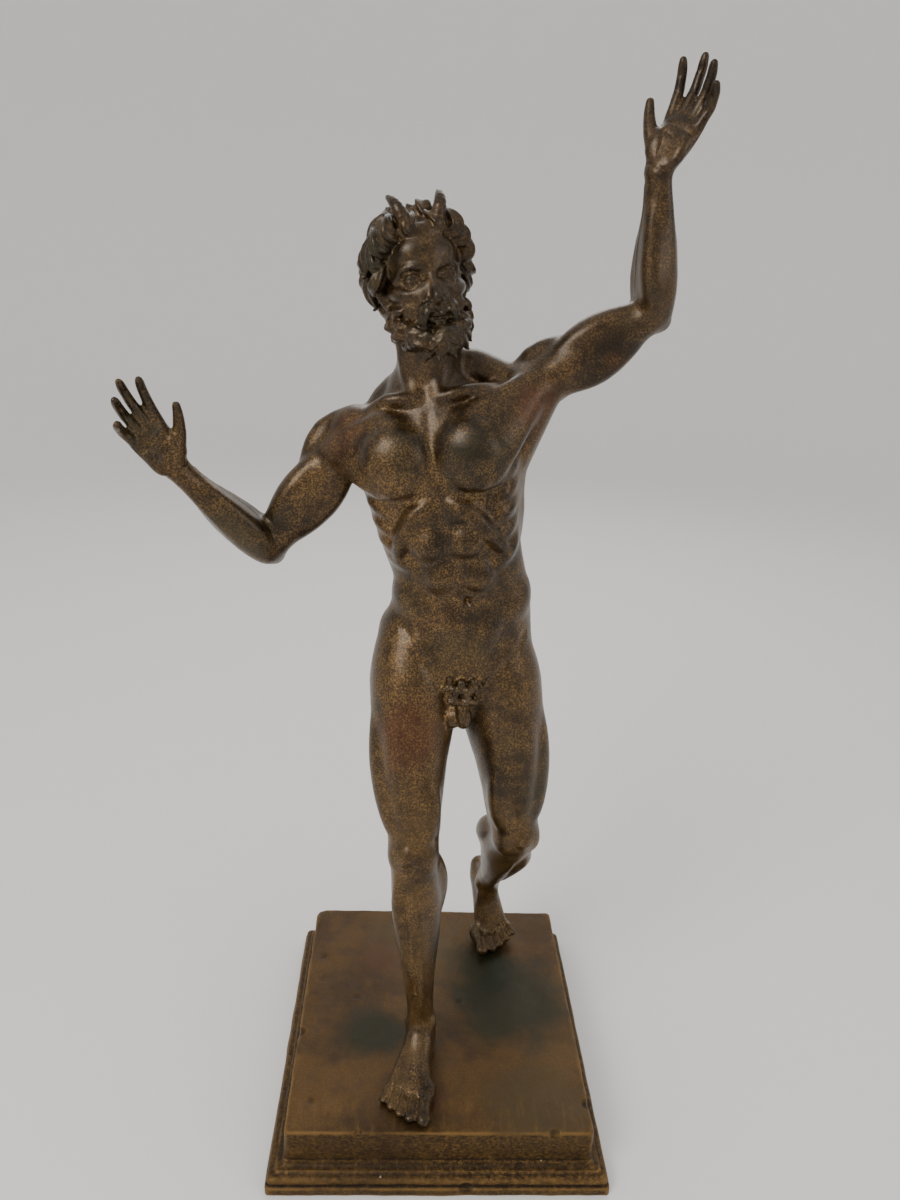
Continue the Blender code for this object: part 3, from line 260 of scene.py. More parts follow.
# A mesh that gathers closed shapes, which are fused afterwards.
class Form:

    def __init__(self):
        self.bm = bmesh.new()
        self.ready = []

    # A closed skin over rings of points, with a pole at each end.
    def rings(self, rings, start, end):
        loops = [[self.bm.verts.new(p) for p in ring] for ring in rings]
        for low, high in zip(loops, loops[1:]):
            for i in range(len(low)):
                j = (i + 1) % len(low)
                self.bm.faces.new((low[i], low[j], high[j], high[i]))
        for loop, pole, turn in ((loops[0], start, True), (loops[-1], end, False)):
            tip = self.bm.verts.new(pole)
            for i in range(len(loop)):
                j = (i + 1) % len(loop)
                self.bm.faces.new((loop[j], loop[i], tip) if turn else (loop[i], loop[j], tip))

    # An oval tube along points, with round ends. Depth runs along the fronts. The points are in
    # metres, and the half widths and half depths, here and below, in the man's centimetres.
    def sweep(self, points, widths, depths, fronts, steps=4, sides=14):
        if isinstance(fronts, Vector):
            fronts = [fronts] * len(points)
        path = curveThrough(points, steps)
        wide = curveThrough([width * cm for width in widths], steps)
        deep = curveThrough([depth * cm for depth in depths], steps)
        faces = curveThrough(fronts, steps)
        rings = []
        last = len(path) - 1
        for i, point in enumerate(path):
            along = (path[min(i + 1, last)] - path[max(i - 1, 0)]).normalized()
            front = (faces[i] - along * faces[i].dot(along)).normalized()
            side = front.cross(along)
            reach = min(wide[i], deep[i])
            turns = (0,)
            if i in (0, last):
                turns = (60, 30, 0) if i == 0 else (0, 30, 60)
            for turn in turns:
                away = math.sin(math.radians(turn)) * reach * (-1 if i == 0 else 1)
                shrink = math.cos(math.radians(turn))
                rings.append([
                    point + along * away
                    + side * (wide[i] * shrink * math.cos(2 * math.pi * k / sides))
                    + front * (deep[i] * shrink * math.sin(2 * math.pi * k / sides))
                    for k in range(sides)])
            if i == 0:
                start = point - along * reach
            if i == last:
                end = point + along * reach
        self.rings([ring[::-1] for ring in rings], start, end)

    # A muscle belly through points, full in the middle and thin at both ends.
    def spindle(self, points, width, depth, front, ends=0.3, sides=16):
        spine = curveThrough(points, 3 if len(points) < 4 else 2)
        last = len(spine) - 1
        swell = [ends + (1 - ends) * math.sin(math.pi * i / last) ** 0.8 for i in range(last + 1)]
        self.sweep(spine, [width * s for s in swell], [depth * s for s in swell],
                   front, steps=1, sides=sides)

    # An ellipsoid. The axes are three unit vectors, or none for the world's.
    def ball(self, centre, radii, axes=None):
        frame = Matrix(axes).transposed() if axes else Matrix.Identity(3)
        size = Matrix.Diagonal([radius * cm for radius in radii] + [1])
        place = Matrix.Translation(centre) @ frame.to_4x4() @ size
        made = bmesh.ops.create_uvsphere(self.bm, u_segments=28, v_segments=18, radius=1, matrix=place)
        if frame.determinant() < 0:
            faces = {face for vert in made["verts"] for face in vert.link_faces}
            bmesh.ops.reverse_faces(self.bm, faces=list(faces))

    def addMesh(self, mesh):
        self.ready.append(mesh)

    # The shapes as one skin, with the creases between them softened.
    def fused(self, voxel, smoothing, finer=0, swell=0):
        mesh = bpy.data.meshes.new("form")
        for made in self.ready:
            self.bm.from_mesh(made)
        self.bm.to_mesh(mesh)
        self.bm.free()
        helper = linked("form", mesh)
        addFusing(helper, voxel, smoothing)
        if swell:
            fuller = helper.modifiers.new("Fuller", "DISPLACE")
            fuller.mid_level = 0
            fuller.strength = swell
        if finer:
            divide = helper.modifiers.new("Divide", "SUBSURF")
            divide.levels = divide.render_levels = finer
        made = evaluated(helper)
        bpy.data.objects.remove(helper)
        return made


# A fused mesh, carved by pushing its points in or out along their normals.
class Skin:

    def __init__(self, mesh):
        self.mesh = mesh
        self.points = pointsOf(mesh)
        self.normals = normalsOf(mesh)
        self.moved = np.zeros(len(self.points))
        self.tree = BVHTree.FromPolygons([vert.co for vert in mesh.vertices],
                                         [tuple(face.vertices) for face in mesh.polygons])

    # Where a line through the point, from outside along the way, meets the skin.
    def land(self, point, way, reach=5):
        hit = self.tree.ray_cast(point + way * reach * cm, -way, 2 * reach * cm)[0]
        return hit or point

    # A groove along points on the skin, width and depth in cm. A negative depth raises a ridge.
    def press(self, points, width, depth):
        path = np.array(points)
        reach = width * cm
        near = np.all((self.points > path.min(0) - reach)
                      & (self.points < path.max(0) + reach), axis=1)
        where = np.nonzero(near)[0]
        spots = self.points[where]
        best = np.full(len(spots), np.inf)
        if len(path) == 1:
            best = np.linalg.norm(spots - path[0], axis=1)
        for start, end in zip(path, path[1:]):
            line = end - start
            share = np.clip((spots - start) @ line / max(line @ line, 1e-12), 0, 1)
            away = np.linalg.norm(spots - start - share[:, None] * line, axis=1)
            best = np.minimum(best, away)
        self.moved[where] -= depth * cm * np.clip(1 - (best / reach) ** 2, 0, 1) ** 2

    def finish(self):
        self.points += self.normals * self.moved[:, None]
        self.mesh.vertices.foreach_set("co", self.points.ravel())
        self.mesh.update()


# A limb segment. Places on it are a share along it, then out from the midline and forward, in cm.
class Bone:

    def __init__(self, head, tail, front, hand):
        self.head, self.tail = head, tail
        self.length = (tail - head).length
        self.along = (tail - head).normalized()
        self.front = (front - self.along * front.dot(self.along)).normalized()
        self.out = self.front.cross(self.along) * hand

    def at(self, share, out=0, front=0):
        return (self.head.lerp(self.tail, share) + self.out * out + self.front * front) * cm

    def direction(self, out, front, along=0):
        return (self.out * out + self.front * front + self.along * along).normalized()


# Where a knee or an elbow lies between two joints, bent towards a direction.
def middleJoint(top, end, upper, lower, towards):
    line = end - top
    reach = min(line.length, (upper + lower) * 0.999)
    near = (upper ** 2 - lower ** 2 + reach ** 2) / (2 * reach)
    away = (towards - line.normalized() * towards.dot(line.normalized())).normalized()
    return top + line.normalized() * near + away * math.sqrt(max(0, upper ** 2 - near ** 2))


# The centre and the side, front and up directions of the trunk at an upright man's level, in cm.
def torsoFrame(level):
    share = smoothStep(98, 122, level)
    low = pose["pelvis"] + pose["pelvisUp"] * (level - pose["pelvisLevel"])
    high = pose["chest"] + pose["chestUp"] * (level - pose["chestLevel"])
    up = blend(pose["pelvisUp"], pose["chestUp"], share).normalized()
    side = blend(pose["pelvisSide"], pose["chestSide"], share)
    side = (side - up * side.dot(up)).normalized()
    return blend(low, high, share), side, up.cross(side) * -1, up


# A place on the trunk, in metres: out from the midline, forward, and up an upright man, in cm.
def torso(out, front, level, hand=left):
    centre, side, ahead, _ = torsoFrame(level)
    return (centre + side * out * hand + ahead * front) * cm


# Side, front and up directions on the trunk, rolled outwards at the top and leaned forward.
def torsoAxes(level, hand=left, roll=0, lean=0):
    _, side, ahead, up = torsoFrame(level)
    side = side * hand
    turned = side * math.cos(roll) - up * math.sin(roll)
    risen = up * math.cos(roll) + side * math.sin(roll)
    pushed = ahead * math.cos(lean) - risen * math.sin(lean)
    return turned, pushed, risen * math.cos(lean) + ahead * math.sin(lean)


# Trunk

def trunkMass(form):
    # level, half width, half depth, forward offset
    stations = (
        (83, 7.5, 6.5, -0.5),
        (87, 13.6, 9.2, -0.8),
        (92, 16.3, 10.2, -0.8),
        (98, 16.0, 10.1, -0.5),
        (103.5, 14.9, 9.4, -0.2),
        (108.5, 13.7, 8.9, 0.0),
        (113, 13.3, 8.9, 0.0),
        (119, 14.0, 9.6, -0.2),
        (126, 15.2, 10.8, -0.5),
        (133, 16.1, 11.3, -0.7),
        (139, 15.4, 10.7, -0.9),
        (144, 12.6, 9.0, -1.3),
        (147.5, 8.8, 7.2, -1.6),
    )
    fronts = [torsoFrame(row[0])[2] for row in stations]
    form.sweep([torso(0, row[3], row[0]) for row in stations],
               [row[1] for row in stations], [row[2] for row in stations],
               fronts, steps=3, sides=24)


def neckMass(form, skull):
    base = torso(0, -1.2, 146)
    top = skull.at(0, -1.8, -7)
    middle = base.lerp(top, 0.5) + straightAhead * 0.2 * cm
    form.sweep([base, middle, top], [7.0, 6.2, 6.2],
               [6.6, 6.2, 6.4], straightAhead)


def abdomen(form):
    # level, out, forward, half width, half height and how far each pad stands out
    pads = (
        (125.0, 3.2, 9.2, 3.2, 3.0, 1.8),
        (118.8, 3.5, 8.6, 3.6, 3.5, 2.0),
        (112.2, 3.5, 8.1, 3.6, 3.6, 2.0),
    )
    for hand in (left, right):
        for level, out, front, wide, tall, deep in pads:
            form.ball(torso(out, front, level, hand), (wide, deep, tall),
                      torsoAxes(level, hand, lean=0.05))
        # The lower belly, the flank over the hip bone and the fold of the groin
        form.ball(torso(3.2, 7.6, 101.5, hand), (3.6, 2.4, 7.4),
                  torsoAxes(101.5, hand, roll=0.14))
        form.spindle([torso(11.6, -4.0, 106.0, hand), torso(11.9, -0.5, 106.6, hand),
                      torso(11.2, 3.4, 106.0, hand), torso(9.0, 6.4, 104.6, hand)],
                     2.6, 5.2, torsoFrame(106)[3], ends=0.6)
        form.spindle([torso(13.4, 1.5, 101.5, hand), torso(10.0, 6.6, 97.0, hand),
                      torso(5.2, 8.2, 90.5, hand)],
                     2.2, 1.5, torsoFrame(98)[2])
        # Ribs' lower edge, then the toothed slips of muscle beside them
        form.spindle([torso(1.6, 10.2, 128.2, hand), torso(5.2, 9.9, 124.6, hand),
                      torso(8.6, 8.6, 119.8, hand), torso(11.2, 6.0, 115.0, hand)],
                     1.7, 1.5, torsoAxes(122, hand)[1])
        for step in range(5):
            level = 131.5 - 3.8 * step
            lean = torsoAxes(level, hand)[0]
            form.spindle([torso(14.9 - 0.5 * step, 0.2, level + 2.2, hand),
                          torso(13.8 - 0.6 * step, 4.4, level, hand),
                          torso(11.0 - 0.6 * step, 7.6, level - 2.6, hand)],
                         1.55, 1.5, lean)


def chestAndBack(form, arms):
    for hand in (left, right):
        arm = arms[hand]
        raised = arm.along.dot(worldUp) > 0
        # Breast muscle, as a fan from the breastbone and collarbone to the arm
        hold = arm.at(0.22, -1.2, 1.6 if raised else 3.2)
        for level, out, front, wide, deep in (
                (141.0, 3.8, 8.0, 3.0, 2.1), (137.0, 3.7, 9.7, 3.3, 2.6),
                (133.0, 3.8, 10.6, 3.2, 2.7), (130.2, 4.8, 10.3, 2.5, 2.3)):
            root = torso(out, front - 0.4, level, hand)
            belly = torso(out + 5.4, front - 0.6, level + 0.8, hand)
            form.spindle([root, root.lerp(belly, 0.5) + torsoAxes(level)[1] * 0.9 * cm, belly,
                          belly.lerp(hold, 0.55), hold],
                         wide, deep, torsoAxes(level, hand)[1], ends=0.5)
        form.ball(torso(7.4, 9.2, 132.8, hand), (5.4, 3.3, 4.4),
                  torsoAxes(132, hand, roll=-0.25))
        form.ball(torso(7.2, 9.3, 135.4, hand), (6.6, 4.2, 7.0),
                  torsoAxes(136, hand, roll=-0.2))
        # Collarbone
        form.spindle([torso(1.6, 6.6, 145.6, hand), torso(7.5, 6.4, 146.6, hand),
                      arm.at(-0.03, 0.5, 1.0)],
                     1.5, 1.3, worldUp, ends=0.75)
        # Shoulder blade with its ridge, broad back muscle and spine muscles
        form.ball(torso(8.8, -8.6, 134.0, hand), (4.6, 2.2, 6.6),
                  torsoAxes(136, hand, roll=0.45 if raised else 0.2))
        form.ball(torso(6.4, -8.8, 138.5, hand), (3.6, 2.2, 5.0),
                  torsoAxes(136, hand, roll=0.2))
        form.spindle([torso(4.4, -9.8, 139.0, hand), torso(9.4, -9.6, 141.5, hand),
                      arm.at(-0.05, 1.0, -3.4)],
                     1.6, 1.3, worldUp, ends=0.7)
        form.spindle([torso(4.5, -5.6, 106, hand), torso(8.6, -5.2, 114, hand),
                      torso(11.0, -4.0, 122, hand), torso(13.0, -3.2, 131, hand),
                      arm.at(0.12, -1.6, -1.5)],
                     5.8, 4.2, torsoAxes(122, hand)[0], ends=0.6)
        form.spindle([torso(3.2, -7.0, 95, hand), torso(3.2, -7.6, 103, hand),
                      torso(3.3, -7.9, 110, hand), torso(3.3, -9.2, 120, hand),
                      torso(3.0, -9.4, 130, hand), torso(2.8, -8.8, 138, hand)],
                     2.8, 2.1, torsoAxes(110)[1], ends=0.5)
        # Slope from the neck to the shoulder
        form.spindle([torso(2.4, -3.8, 152, hand), torso(5.4, -4.0, 149.2, hand),
                      torso(9.4, -3.4, 146.4, hand), arm.at(-0.06, 0.6, -1.5)],
                     3.8, 3.0, worldUp, ends=0.7)
        form.spindle([torso(1.8, -6.2, 151, hand), torso(2.6, -8.2, 144, hand),
                      torso(2.2, -9.6, 134, hand), torso(1.2, -9.4, 124, hand)],
                     3.2, 1.7, torsoAxes(140)[1], ends=0.6)
        # Shoulder cap
        if raised:
            form.spindle([torso(3.4, -1.6, 151, hand), torso(8.4, -1.6, 150.8, hand),
                          arm.at(0.0, 2.2, -1.0), arm.at(0.2, 2.2, -0.8)],
                         3.8, 3.4, worldUp, ends=0.75)
        for forward, wide in ((3.4, 3.3), (0.4, 4.2), (-3.0, 3.2)):
            form.spindle([arm.at(-0.09, 0.8, forward * 0.8),
                          arm.at(0.12, 2.6 if raised else 3.4, forward * 1.05),
                          arm.at(0.32, 2.8, forward * 0.75), arm.at(0.50, 2.2, forward * 0.2)],
                         wide, 2.5, arm.out, ends=0.45)
        form.ball(arm.at(0.0), (5.4, 5.4, 5.4))
    form.spindle([torso(0, 8.8, 142), torso(0, 9.9, 134), torso(0, 9.9, 128.5)],
                 1.6, 0.9, torsoAxes(134)[1])


def seat(form, legs):
    for hand in (left, right):
        thigh = legs[hand][0]
        form.ball(torso(7.2, -7.2, 91.5, hand), (7.4, 6.4, 7.8),
                  torsoAxes(91, hand, roll=-0.2))
        form.ball(torso(11.0, -1.6, 97, hand), (5.4, 7.0, 6.8),
                  torsoAxes(97, hand, roll=-0.15))
        form.spindle([thigh.at(-0.12, 5.6, -1.5), thigh.at(0.08, 6.2, -1.0),
                      thigh.at(0.28, 5.6, -0.5), thigh.at(0.5, 4.4, 0.0)],
                     3.0, 5.4, thigh.front, ends=0.5)
    # The short tail of a faun, curling off the small of the back
    form.sweep([torso(0, -8.8, 99.0), torso(0.2, -12.0, 100.2), torso(0.6, -14.8, 98.4),
                torso(0.9, -15.6, 94.6), torso(0.5, -14.6, 91.0), torso(-0.2, -13.8, 88.6)],
               [1.6, 1.7, 2.0, 2.1, 1.6, 0.6],
               [1.4, 1.4, 1.7, 1.8, 1.3, 0.5], worldUp)


def groin(form):
    form.ball(torso(0, 6.8, 87.0), (4.8, 3.2, 3.6), torsoAxes(87))
    for hand in (left, right):
        form.ball(torso(1.25, 8.4, 81.8, hand), (1.75, 2.0, 2.5), torsoAxes(81, hand))
    form.sweep([torso(0, 8.6, 86.2), torso(0, 10.3, 84.6), torso(0.2, 10.9, 82.0)],
               [1.2, 1.2, 0.85], [1.2, 1.15, 0.85], straightAhead)


# Legs

def legMass(form, thigh, shank):
    thighRows = ((-0.06, 7.8, 8.6, 0.0, -0.6), (0.10, 8.9, 9.6, 0.3, -0.4),
                  (0.28, 8.6, 9.3, 0.4, 0.0), (0.48, 7.7, 8.4, 0.3, 0.3),
                  (0.68, 6.6, 7.1, 0.1, 0.3), (0.86, 5.6, 6.0, 0.0, 0.1), (1.0, 5.3, 5.6, 0.0, 0.2))
    form.sweep([thigh.at(s, out, front) for s, _, _, out, front in thighRows],
               [row[1] for row in thighRows], [row[2] for row in thighRows],
               thigh.front, sides=18)
    shankRows = ((0.0, 5.2, 5.5, 0.0, 0.1), (0.12, 5.1, 5.5, 0.0, -0.4),
                  (0.30, 5.4, 5.8, 0.0, -1.0), (0.45, 4.9, 5.3, 0.0, -0.9),
                  (0.65, 3.8, 4.2, 0.0, -0.5), (0.84, 3.0, 3.5, 0.0, -0.3), (1.0, 3.1, 3.6, 0.0, 0.0))
    form.sweep([shank.at(s, out, front) for s, _, _, out, front in shankRows],
               [row[1] for row in shankRows], [row[2] for row in shankRows],
               shank.front, sides=16)


def legMuscles(form, thigh, shank):
    # Thigh: share, out and forward of each belly, with its half width and half depth
    bellies = (
        (((0.05, 1.0, 5.5), (0.35, 1.6, 7.0), (0.65, 0.9, 5.6), (0.88, 0.2, 4.6)), 3.3, 2.6),
        (((0.12, 5.5, 2.5), (0.42, 5.4, 3.6), (0.70, 4.2, 3.6), (0.90, 3.0, 3.4)), 3.6, 3.1),
        (((0.42, -3.0, 4.6), (0.66, -3.6, 4.2), (0.82, -3.6, 3.6), (0.95, -2.6, 3.2)), 2.9, 2.6),
        (((0.00, -4.4, 1.5), (0.20, -5.4, 0.6), (0.42, -4.6, -0.5), (0.68, -3.6, -1.0)), 3.6, 4.4),
        (((0.02, -1.0, -6.8), (0.30, -2.2, -7.2), (0.60, -2.4, -5.6), (0.98, -3.6, -3.8)), 3.0, 2.6),
        (((0.02, 2.6, -6.4), (0.30, 3.0, -6.6), (0.62, 3.2, -5.0), (1.00, 3.8, -3.6)), 3.0, 2.6),
    )
    for places, wide, deep in bellies:
        form.spindle(curveThrough([thigh.at(*p) for p in places], 3),
                     wide, deep, thigh.front, ends=0.35)
    form.ball(thigh.at(0.985, 0.1, 4.9), (2.3, 1.4, 2.7),
              (thigh.out, thigh.front, thigh.along))
    for out in (2.8, -3.0):
        form.ball(thigh.at(1.0, out, 0.6), (2.5, 4.3, 4.4),
                  (thigh.out, thigh.front, thigh.along))
    # Shank: the two heads of the calf, the muscle beside the shin, the shin and the heel cord
    bellies = (
        (((0.02, -2.4, -3.4), (0.16, -3.2, -4.6), (0.30, -2.9, -4.9), (0.48, -1.8, -3.9)), 3.1, 3.0),
        (((0.02, 2.6, -3.4), (0.14, 3.0, -4.4), (0.26, 2.8, -4.6), (0.42, 1.8, -3.9)), 2.8, 2.8),
        (((0.06, 2.2, 3.4), (0.24, 2.7, 3.5), (0.46, 1.8, 3.0), (0.74, 0.6, 2.6)), 1.9, 2.2),
        (((0.20, 4.0, -0.6), (0.40, 3.6, -0.8), (0.62, 2.6, -1.2), (0.90, 2.4, -1.6)), 1.8, 2.2),
        (((0.05, 0.0, 4.8), (0.30, -1.2, 4.2), (0.60, -1.2, 3.2), (0.92, -0.8, 2.8)), 1.3, 1.3),
    )
    for places, wide, deep in bellies:
        form.spindle(curveThrough([shank.at(*p) for p in places], 3),
                     wide, deep, shank.front, ends=0.35)
    form.sweep([shank.at(0.45, 0, -4.4), shank.at(0.75, 0, -4.0), shank.at(1.0, 0, -4.4),
                shank.at(1.08, 0, -4.8)],
               [2.0, 1.0, 1.1, 1.5], [1.6, 1.1, 1.1, 1.3],
               shank.front)
    form.ball(shank.at(1.01, 2.6, -0.4), (1.2, 1.5, 1.9),
              (shank.out, shank.front, shank.along))
    form.ball(shank.at(0.98, -2.6, 0.4), (1.2, 1.6, 2.0),
              (shank.out, shank.front, shank.along))


# A foot from its ankle, tipped forward by how far the heel is raised.
class Foot:

    def __init__(self, hand):
        toeWay, pitch = pose["footWays"][hand], pose["heelLifts"][hand]
        self.ankle = pose["ankles"][hand]
        self.flat = Vector((toeWay.x, toeWay.y, 0)).normalized()
        self.ahead = self.flat * math.cos(pitch) - worldUp * math.sin(pitch)
        self.rise = worldUp * math.cos(pitch) + self.flat * math.sin(pitch)
        self.out = self.flat.cross(worldUp) * -hand

    def at(self, forward, outward, up):
        return (self.ankle + self.ahead * forward + self.out * outward + self.rise * up) * cm


def footMass(form, foot):
    at, ahead, rise, out = foot.at, foot.ahead, foot.rise, foot.out

    # Sole level is 8.6 below the ankle. Rows: forward, out, up, half width, half height
    rows = ((-5.2, 0.0, -5.6, 2.6, 2.6), (-3.0, 0.0, -5.2, 3.2, 3.4), (0.0, 0.0, -4.2, 3.3, 4.4),
            (3.6, 0.1, -4.6, 3.5, 3.9), (7.4, 0.4, -5.7, 4.1, 2.9), (11.2, 0.6, -6.6, 4.7, 2.0),
            (13.4, 0.6, -7.1, 4.7, 1.4))
    form.sweep([at(f, o, u) for f, o, u, _, _ in rows], [row[3] for row in rows],
               [row[4] for row in rows], rise, sides=16)
    form.spindle([at(1.0, -0.6, -0.6), at(5.0, -0.9, -2.4), at(10.0, -1.6, -4.8)],
                 1.7, 1.3, rise, ends=0.6)
    form.sweep([at(-0.6, -0.1, 3.6), at(1.4, -0.1, 0.4), at(4.6, -0.2, -2.3), at(8.6, 0.1, -4.6)],
               [2.4, 2.7, 2.9, 2.6], [1.9, 2.0, 1.5, 0.9], rise)
    form.ball(at(12.2, -3.2, -6.5), (2.3, 2.9, 2.0), (out, ahead, rise))


# out, length, thickness and how far forward each toe starts
toeSettings = ((-3.1, 6.2, 1.6, 13.2), (-0.65, 5.8, 1.24, 13.3), (1.2, 5.2, 1.16, 12.8),
               (2.95, 4.6, 1.10, 12.0), (4.5, 4.1, 1.05, 11.0))


def toes(form, foot):
    tips = []
    for place, length, thick, forward in toeSettings:
        root = foot.at(forward - 1.0, place, -8.6 + thick)
        tipOut = foot.out * (0.11 * place)
        middle = root + (foot.flat * (length * 0.4 + 1) + worldUp * thick * 0.5 + tipOut) * cm
        joint = root + (foot.flat * (length * 0.62 + 1) + worldUp * thick * 0.2 + tipOut) * cm
        tip = root + (foot.flat * (length * 0.88 + 1) + tipOut * 2 - worldUp * 0.1) * cm
        form.sweep([root, middle, joint, tip],
                   [thick * share for share in (0.95, 0.94, 0.9, 1.0)],
                   [thick * share for share in (1.0, 0.95, 0.85, 0.92)], worldUp, sides=16)
        tips.append((tip, thick, joint, root))
    return tips


# Arms and hands

def armMass(form, upper, lower, palm):
    rows = ((-0.02, 4.6, 4.8), (0.2, 4.5, 4.9), (0.45, 4.1, 4.7), (0.7, 3.8, 4.2),
            (0.9, 3.8, 3.4), (1.0, 3.9, 3.2))
    form.sweep([upper.at(r[0]) for r in rows], [r[1] for r in rows],
               [r[2] for r in rows], upper.front, sides=14)
    rows = ((0.0, 3.8, 3.3), (0.18, 4.3, 3.9), (0.38, 4.0, 3.7), (0.6, 3.3, 3.1),
            (0.82, 2.7, 2.3), (1.0, 2.8, 2.0))
    # The wrist is turned so that its flat side is the palm's.
    flat = (palm - lower.along * palm.dot(lower.along)).normalized()
    fronts = [lower.front.lerp(flat, smoothStep(0.2, 0.95, r[0])).normalized() for r in rows]
    form.sweep([lower.at(r[0]) for r in rows], [r[1] for r in rows],
               [r[2] for r in rows], fronts, sides=14)


def armMuscles(form, upper, lower):
    bellies = (
        (upper, ((0.18, 0.0, 2.6), (0.45, -0.3, 3.7), (0.68, -0.2, 3.4), (0.92, 0.0, 2.2)), 2.9, 2.6),
        (upper, ((0.12, 1.2, -2.4), (0.38, 1.8, -3.5), (0.60, 1.4, -3.0), (0.88, 0.6, -2.0)), 2.6, 2.5),
        (upper, ((0.15, -1.6, -2.2), (0.42, -1.9, -3.3), (0.66, -1.4, -2.8), (0.88, -0.4, -2.0)),
         2.5, 2.4),
        (upper, ((0.45, 2.8, 0.8), (0.65, 3.0, 1.0), (0.85, 2.6, 1.2), (0.98, 2.2, 1.4)), 1.7, 2.3),
        (lower, ((-0.16, 3.0, 0.8), (0.10, 3.2, 1.8), (0.35, 2.4, 1.9), (0.72, 1.8, 1.2)), 2.0, 2.2),
        (lower, ((-0.03, -2.6, 0.6), (0.18, -2.9, 1.3), (0.42, -2.2, 1.3), (0.80, -1.2, 1.0)),
         2.3, 2.3),
        (lower, ((0.0, 1.4, -1.6), (0.22, 1.7, -2.4), (0.46, 1.2, -2.1), (0.85, 0.6, -1.2)), 2.1, 1.9),
        (lower, ((0.0, -1.4, -2.0), (0.30, -1.8, -1.8), (0.62, -1.6, -1.4), (0.97, -1.5, -1.0)),
         1.4, 1.4),
    )
    for bone, places, wide, deep in bellies:
        form.spindle(curveThrough([bone.at(*p) for p in places], 3),
                     wide, deep, bone.front, ends=0.35)
    form.ball(upper.at(1.0, 0, -2.4), (1.8, 1.6, 2.2),
              (upper.out, upper.front, upper.along))


class Hand:

    def __init__(self, hand):
        self.wrist = pose["wrists"][hand]
        self.ahead = pose["handWays"][hand].normalized()
        palm = pose["palmWays"][hand]
        self.palm = (palm - self.ahead * palm.dot(self.ahead)).normalized()
        self.thumbSide = self.palm.cross(self.ahead) * hand

    def at(self, forward, side, inward):
        return (self.wrist + self.ahead * forward + self.thumbSide * side + self.palm * inward) * cm


def palmMass(form, hold):
    at, ahead, palm, thumbSide = hold.at, hold.ahead, hold.palm, hold.thumbSide
    rows = ((-0.8, 0.0, 2.5, 1.8), (2.0, 0.1, 3.2, 1.7), (5.0, 0.0, 3.9, 1.6), (8.4, -0.1, 4.1, 1.35))
    form.sweep([at(f, s, 0) for f, s, _, _ in rows], [row[2] for row in rows],
               [row[3] for row in rows], palm, sides=14)
    form.ball(at(3.6, 2.3, 1.0), (3.0, 1.7, 1.6), (ahead, thumbSide, palm))
    form.ball(at(3.6, -2.6, 0.9), (3.2, 1.3, 1.2), (ahead, thumbSide, palm))


def fingersAndThumb(form, hold, curls, spread):
    at, ahead, palm, thumbSide = hold.at, hold.ahead, hold.palm, hold.thumbSide
    # Side of the knuckle, its reach, and three bone lengths
    fingers = ((3.0, 8.8, (4.4, 2.6, 2.0)), (1.0, 9.3, (4.9, 3.0, 2.1)),
               (-1.0, 9.0, (4.5, 2.8, 2.1)), (-2.9, 8.2, (3.5, 2.1, 1.8)))
    made = []
    for (side, reach, bones), bends, fan in zip(fingers, curls, spread):
        base = ahead * math.cos(fan) + thumbSide * math.sin(fan)
        points, widths = [at(reach - 2.2, side * 0.94, -0.15), at(reach, side, 0)], [1.0, 1.1]
        angle = 0
        palmWay = palm
        for k, (bone, bend) in enumerate(zip(bones, bends)):
            angle += math.radians(bend)
            way = base * math.cos(angle) + palm * math.sin(angle)
            palmWay = palm * math.cos(angle) - base * math.sin(angle)
            points.append(points[-1] + way * bone * 0.5 * cm)
            points.append(points[-1] + way * bone * 0.5 * cm)
            widths += [1.0 - 0.05 * k, (1.0, 0.92, 0.74)[k]]
        form.sweep(points, widths, [w * 0.95 for w in widths],
                   palm, steps=3, sides=14)
        made.append((points, palmWay))
    thumb = [at(1.6, 1.8, 0.6), at(4.4, 3.9, 1.4), at(7.2, 5.8, 1.8), at(9.4, 6.8, 2.3)]
    form.sweep(thumb, [1.3, 1.35, 1.1, 0.85],
               [1.3, 1.3, 1.05, 0.75], palm, steps=3, sides=10)
    return made


# Head

# The head's own frame: side to its left, front along the gaze and up, in cm from between the ears.
class Skull:

    def __init__(self):
        self.up = pose["headUp"]
        gaze = pose["headFront"]
        self.front = (gaze - self.up * gaze.dot(self.up)).normalized()
        self.side = self.up.cross(self.front)
        self.axes = (self.side, self.front, self.up)

    def at(self, side, front, up):
        return (pose["headPlace"] + self.side * side + self.front * front + self.up * up) * cm

    def way(self, side, front, up):
        return (self.side * side + self.front * front + self.up * up).normalized()


def skullMass(form, skull):
    form.ball(skull.at(0, -1.0, 3.4), (7.4, 9.2, 8.8), skull.axes)
    form.ball(skull.at(0, 2.2, -2.8), (6.0, 6.4, 7.7), skull.axes)


